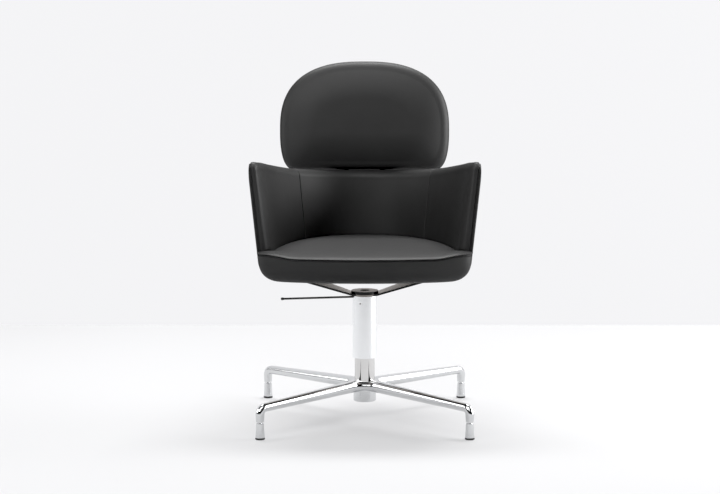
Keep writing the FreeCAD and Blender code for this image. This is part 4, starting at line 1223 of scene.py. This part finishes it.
def stage_sheet(name, corners, colour, glow):
    """A plain pale sheet of the stage with some light of its own, clear from behind."""
    piece = build(name, corners, [(0, 1, 2, 3)])
    finish = Finish(name, Roughness=0.9, Specular_IOR_Level=0.0, Emission_Strength=1.0)
    finish.set("Base Color", colour + (1.0,))
    finish.set("Emission Color", tuple(c * glow for c in colour) + (1.0,))
    clear = finish.node("ShaderNodeBsdfTransparent", out="BSDF")
    behind = finish.node("ShaderNodeNewGeometry", out="Backfacing")
    sheet = finish.node("ShaderNodeMixShader", None, {
        0: behind, 1: Value(finish, finish.shader.outputs[0]), 2: clear})
    finish.feed(finish.tree.nodes["Material Output"].inputs["Surface"], sheet)
    dress(piece, finish.material)
    return piece


floor = stage_sheet("floor", [
    (-SHEET_REACH, -SHEET_REACH, 0), (SHEET_REACH, -SHEET_REACH, 0),
    (SHEET_REACH, FLOOR_END, 0), (-SHEET_REACH, FLOOR_END, 0)], FLOOR_COLOUR, FLOOR_GLOW)
backdrop = stage_sheet("backdrop", [
    (-SHEET_REACH, FLOOR_END, BACKDROP_LOW), (SHEET_REACH, FLOOR_END, BACKDROP_LOW),
    (SHEET_REACH, FLOOR_END, BACKDROP_HIGH), (-SHEET_REACH, FLOOR_END, BACKDROP_HIGH)],
    BACKDROP_COLOUR, BACKDROP_GLOW)

# The sheets' own light falls on the metal and on each other; the leather is lit by the panels.
lit_by_sheets = bpy.data.collections.new("lit_by_sheets")
for piece in bpy.context.scene.objects:
    if piece.type == "MESH" and LEATHER.name not in piece.data.materials:
        lit_by_sheets.objects.link(piece)
for sheet in (floor, backdrop):
    sheet.light_linking.receiver_collection = lit_by_sheets


CHAIR_MIDDLE = Vector((0, 0, 0.55))


def softbox(name, place, size, energy):
    """A large soft light aimed at the chair, not seen itself."""
    light = bpy.data.lights.new(name, "AREA")
    light.shape = "RECTANGLE"
    light.size, light.size_y = size
    light.energy = energy
    lamp = bpy.data.objects.new(name, light)
    lamp.location = place
    lamp.rotation_euler = (CHAIR_MIDDLE - Vector(place)).to_track_quat("-Z", "Y").to_euler()
    lamp.visible_camera = False
    bpy.context.scene.collection.objects.link(lamp)


for name, place, size, energy in (
        ("overhead", (0, 1.2, 3.2), (2.4, 1.4), 175.0),
        ("overhead_front", (0, -2.0, 3.0), (2.4, 1.6), 36.0),
        ("front_left", (-2.0, -2.6, 2.4), (1.6, 1.6), 38.0),
        ("front", (0, -4.2, 2.6), (2.0, 1.2), 12.0),
        ("left_panel", (-3.0, -0.3, 1.2), (1.6, 1.6), 25.0),
        ("right_panel", (3.0, -0.1, 0.93), (1.6, 2.0), 78.0),
        ("right_rear", (2.4, 1.0, 1.6), (1.4, 1.4), 31.0)):
    softbox(name, place, size, energy)

# The world is only seen, round the sheets; it lights nothing
WORLD_STRENGTH = 0.90
DEEP_BLACK = 0.009

scene = bpy.context.scene
world = bpy.data.worlds.new("studio")
scene.world = world
world.use_nodes = True
background = world.node_tree.nodes["Background"]
background.inputs["Color"].default_value = (1.0, 1.0, 1.0, 1.0)
background.inputs["Strength"].default_value = WORLD_STRENGTH
world.cycles_visibility.diffuse = False
world.cycles_visibility.glossy = False
scene.view_settings.view_transform = "Standard"
scene.view_settings.use_curve_mapping = True
scene.view_settings.curve_mapping.black_level = (DEEP_BLACK, DEEP_BLACK, DEEP_BLACK)
scene.view_settings.curve_mapping.update()

CAMERA_PLACE = (-0.0117, -5.7503, 1.2219)
CAMERA_PITCH = 0.13697
CAMERA_LENS = 117.55
SENSOR_WIDTH = 36.0

camera_data = bpy.data.cameras.new("camera")
camera_data.sensor_fit = "HORIZONTAL"
camera_data.sensor_width = SENSOR_WIDTH
camera_data.lens = CAMERA_LENS
camera = bpy.data.objects.new("camera", camera_data)
camera.location = CAMERA_PLACE
camera.rotation_euler = (math.pi / 2 - CAMERA_PITCH, 0, 0)
scene.collection.objects.link(camera)
scene.camera = camera
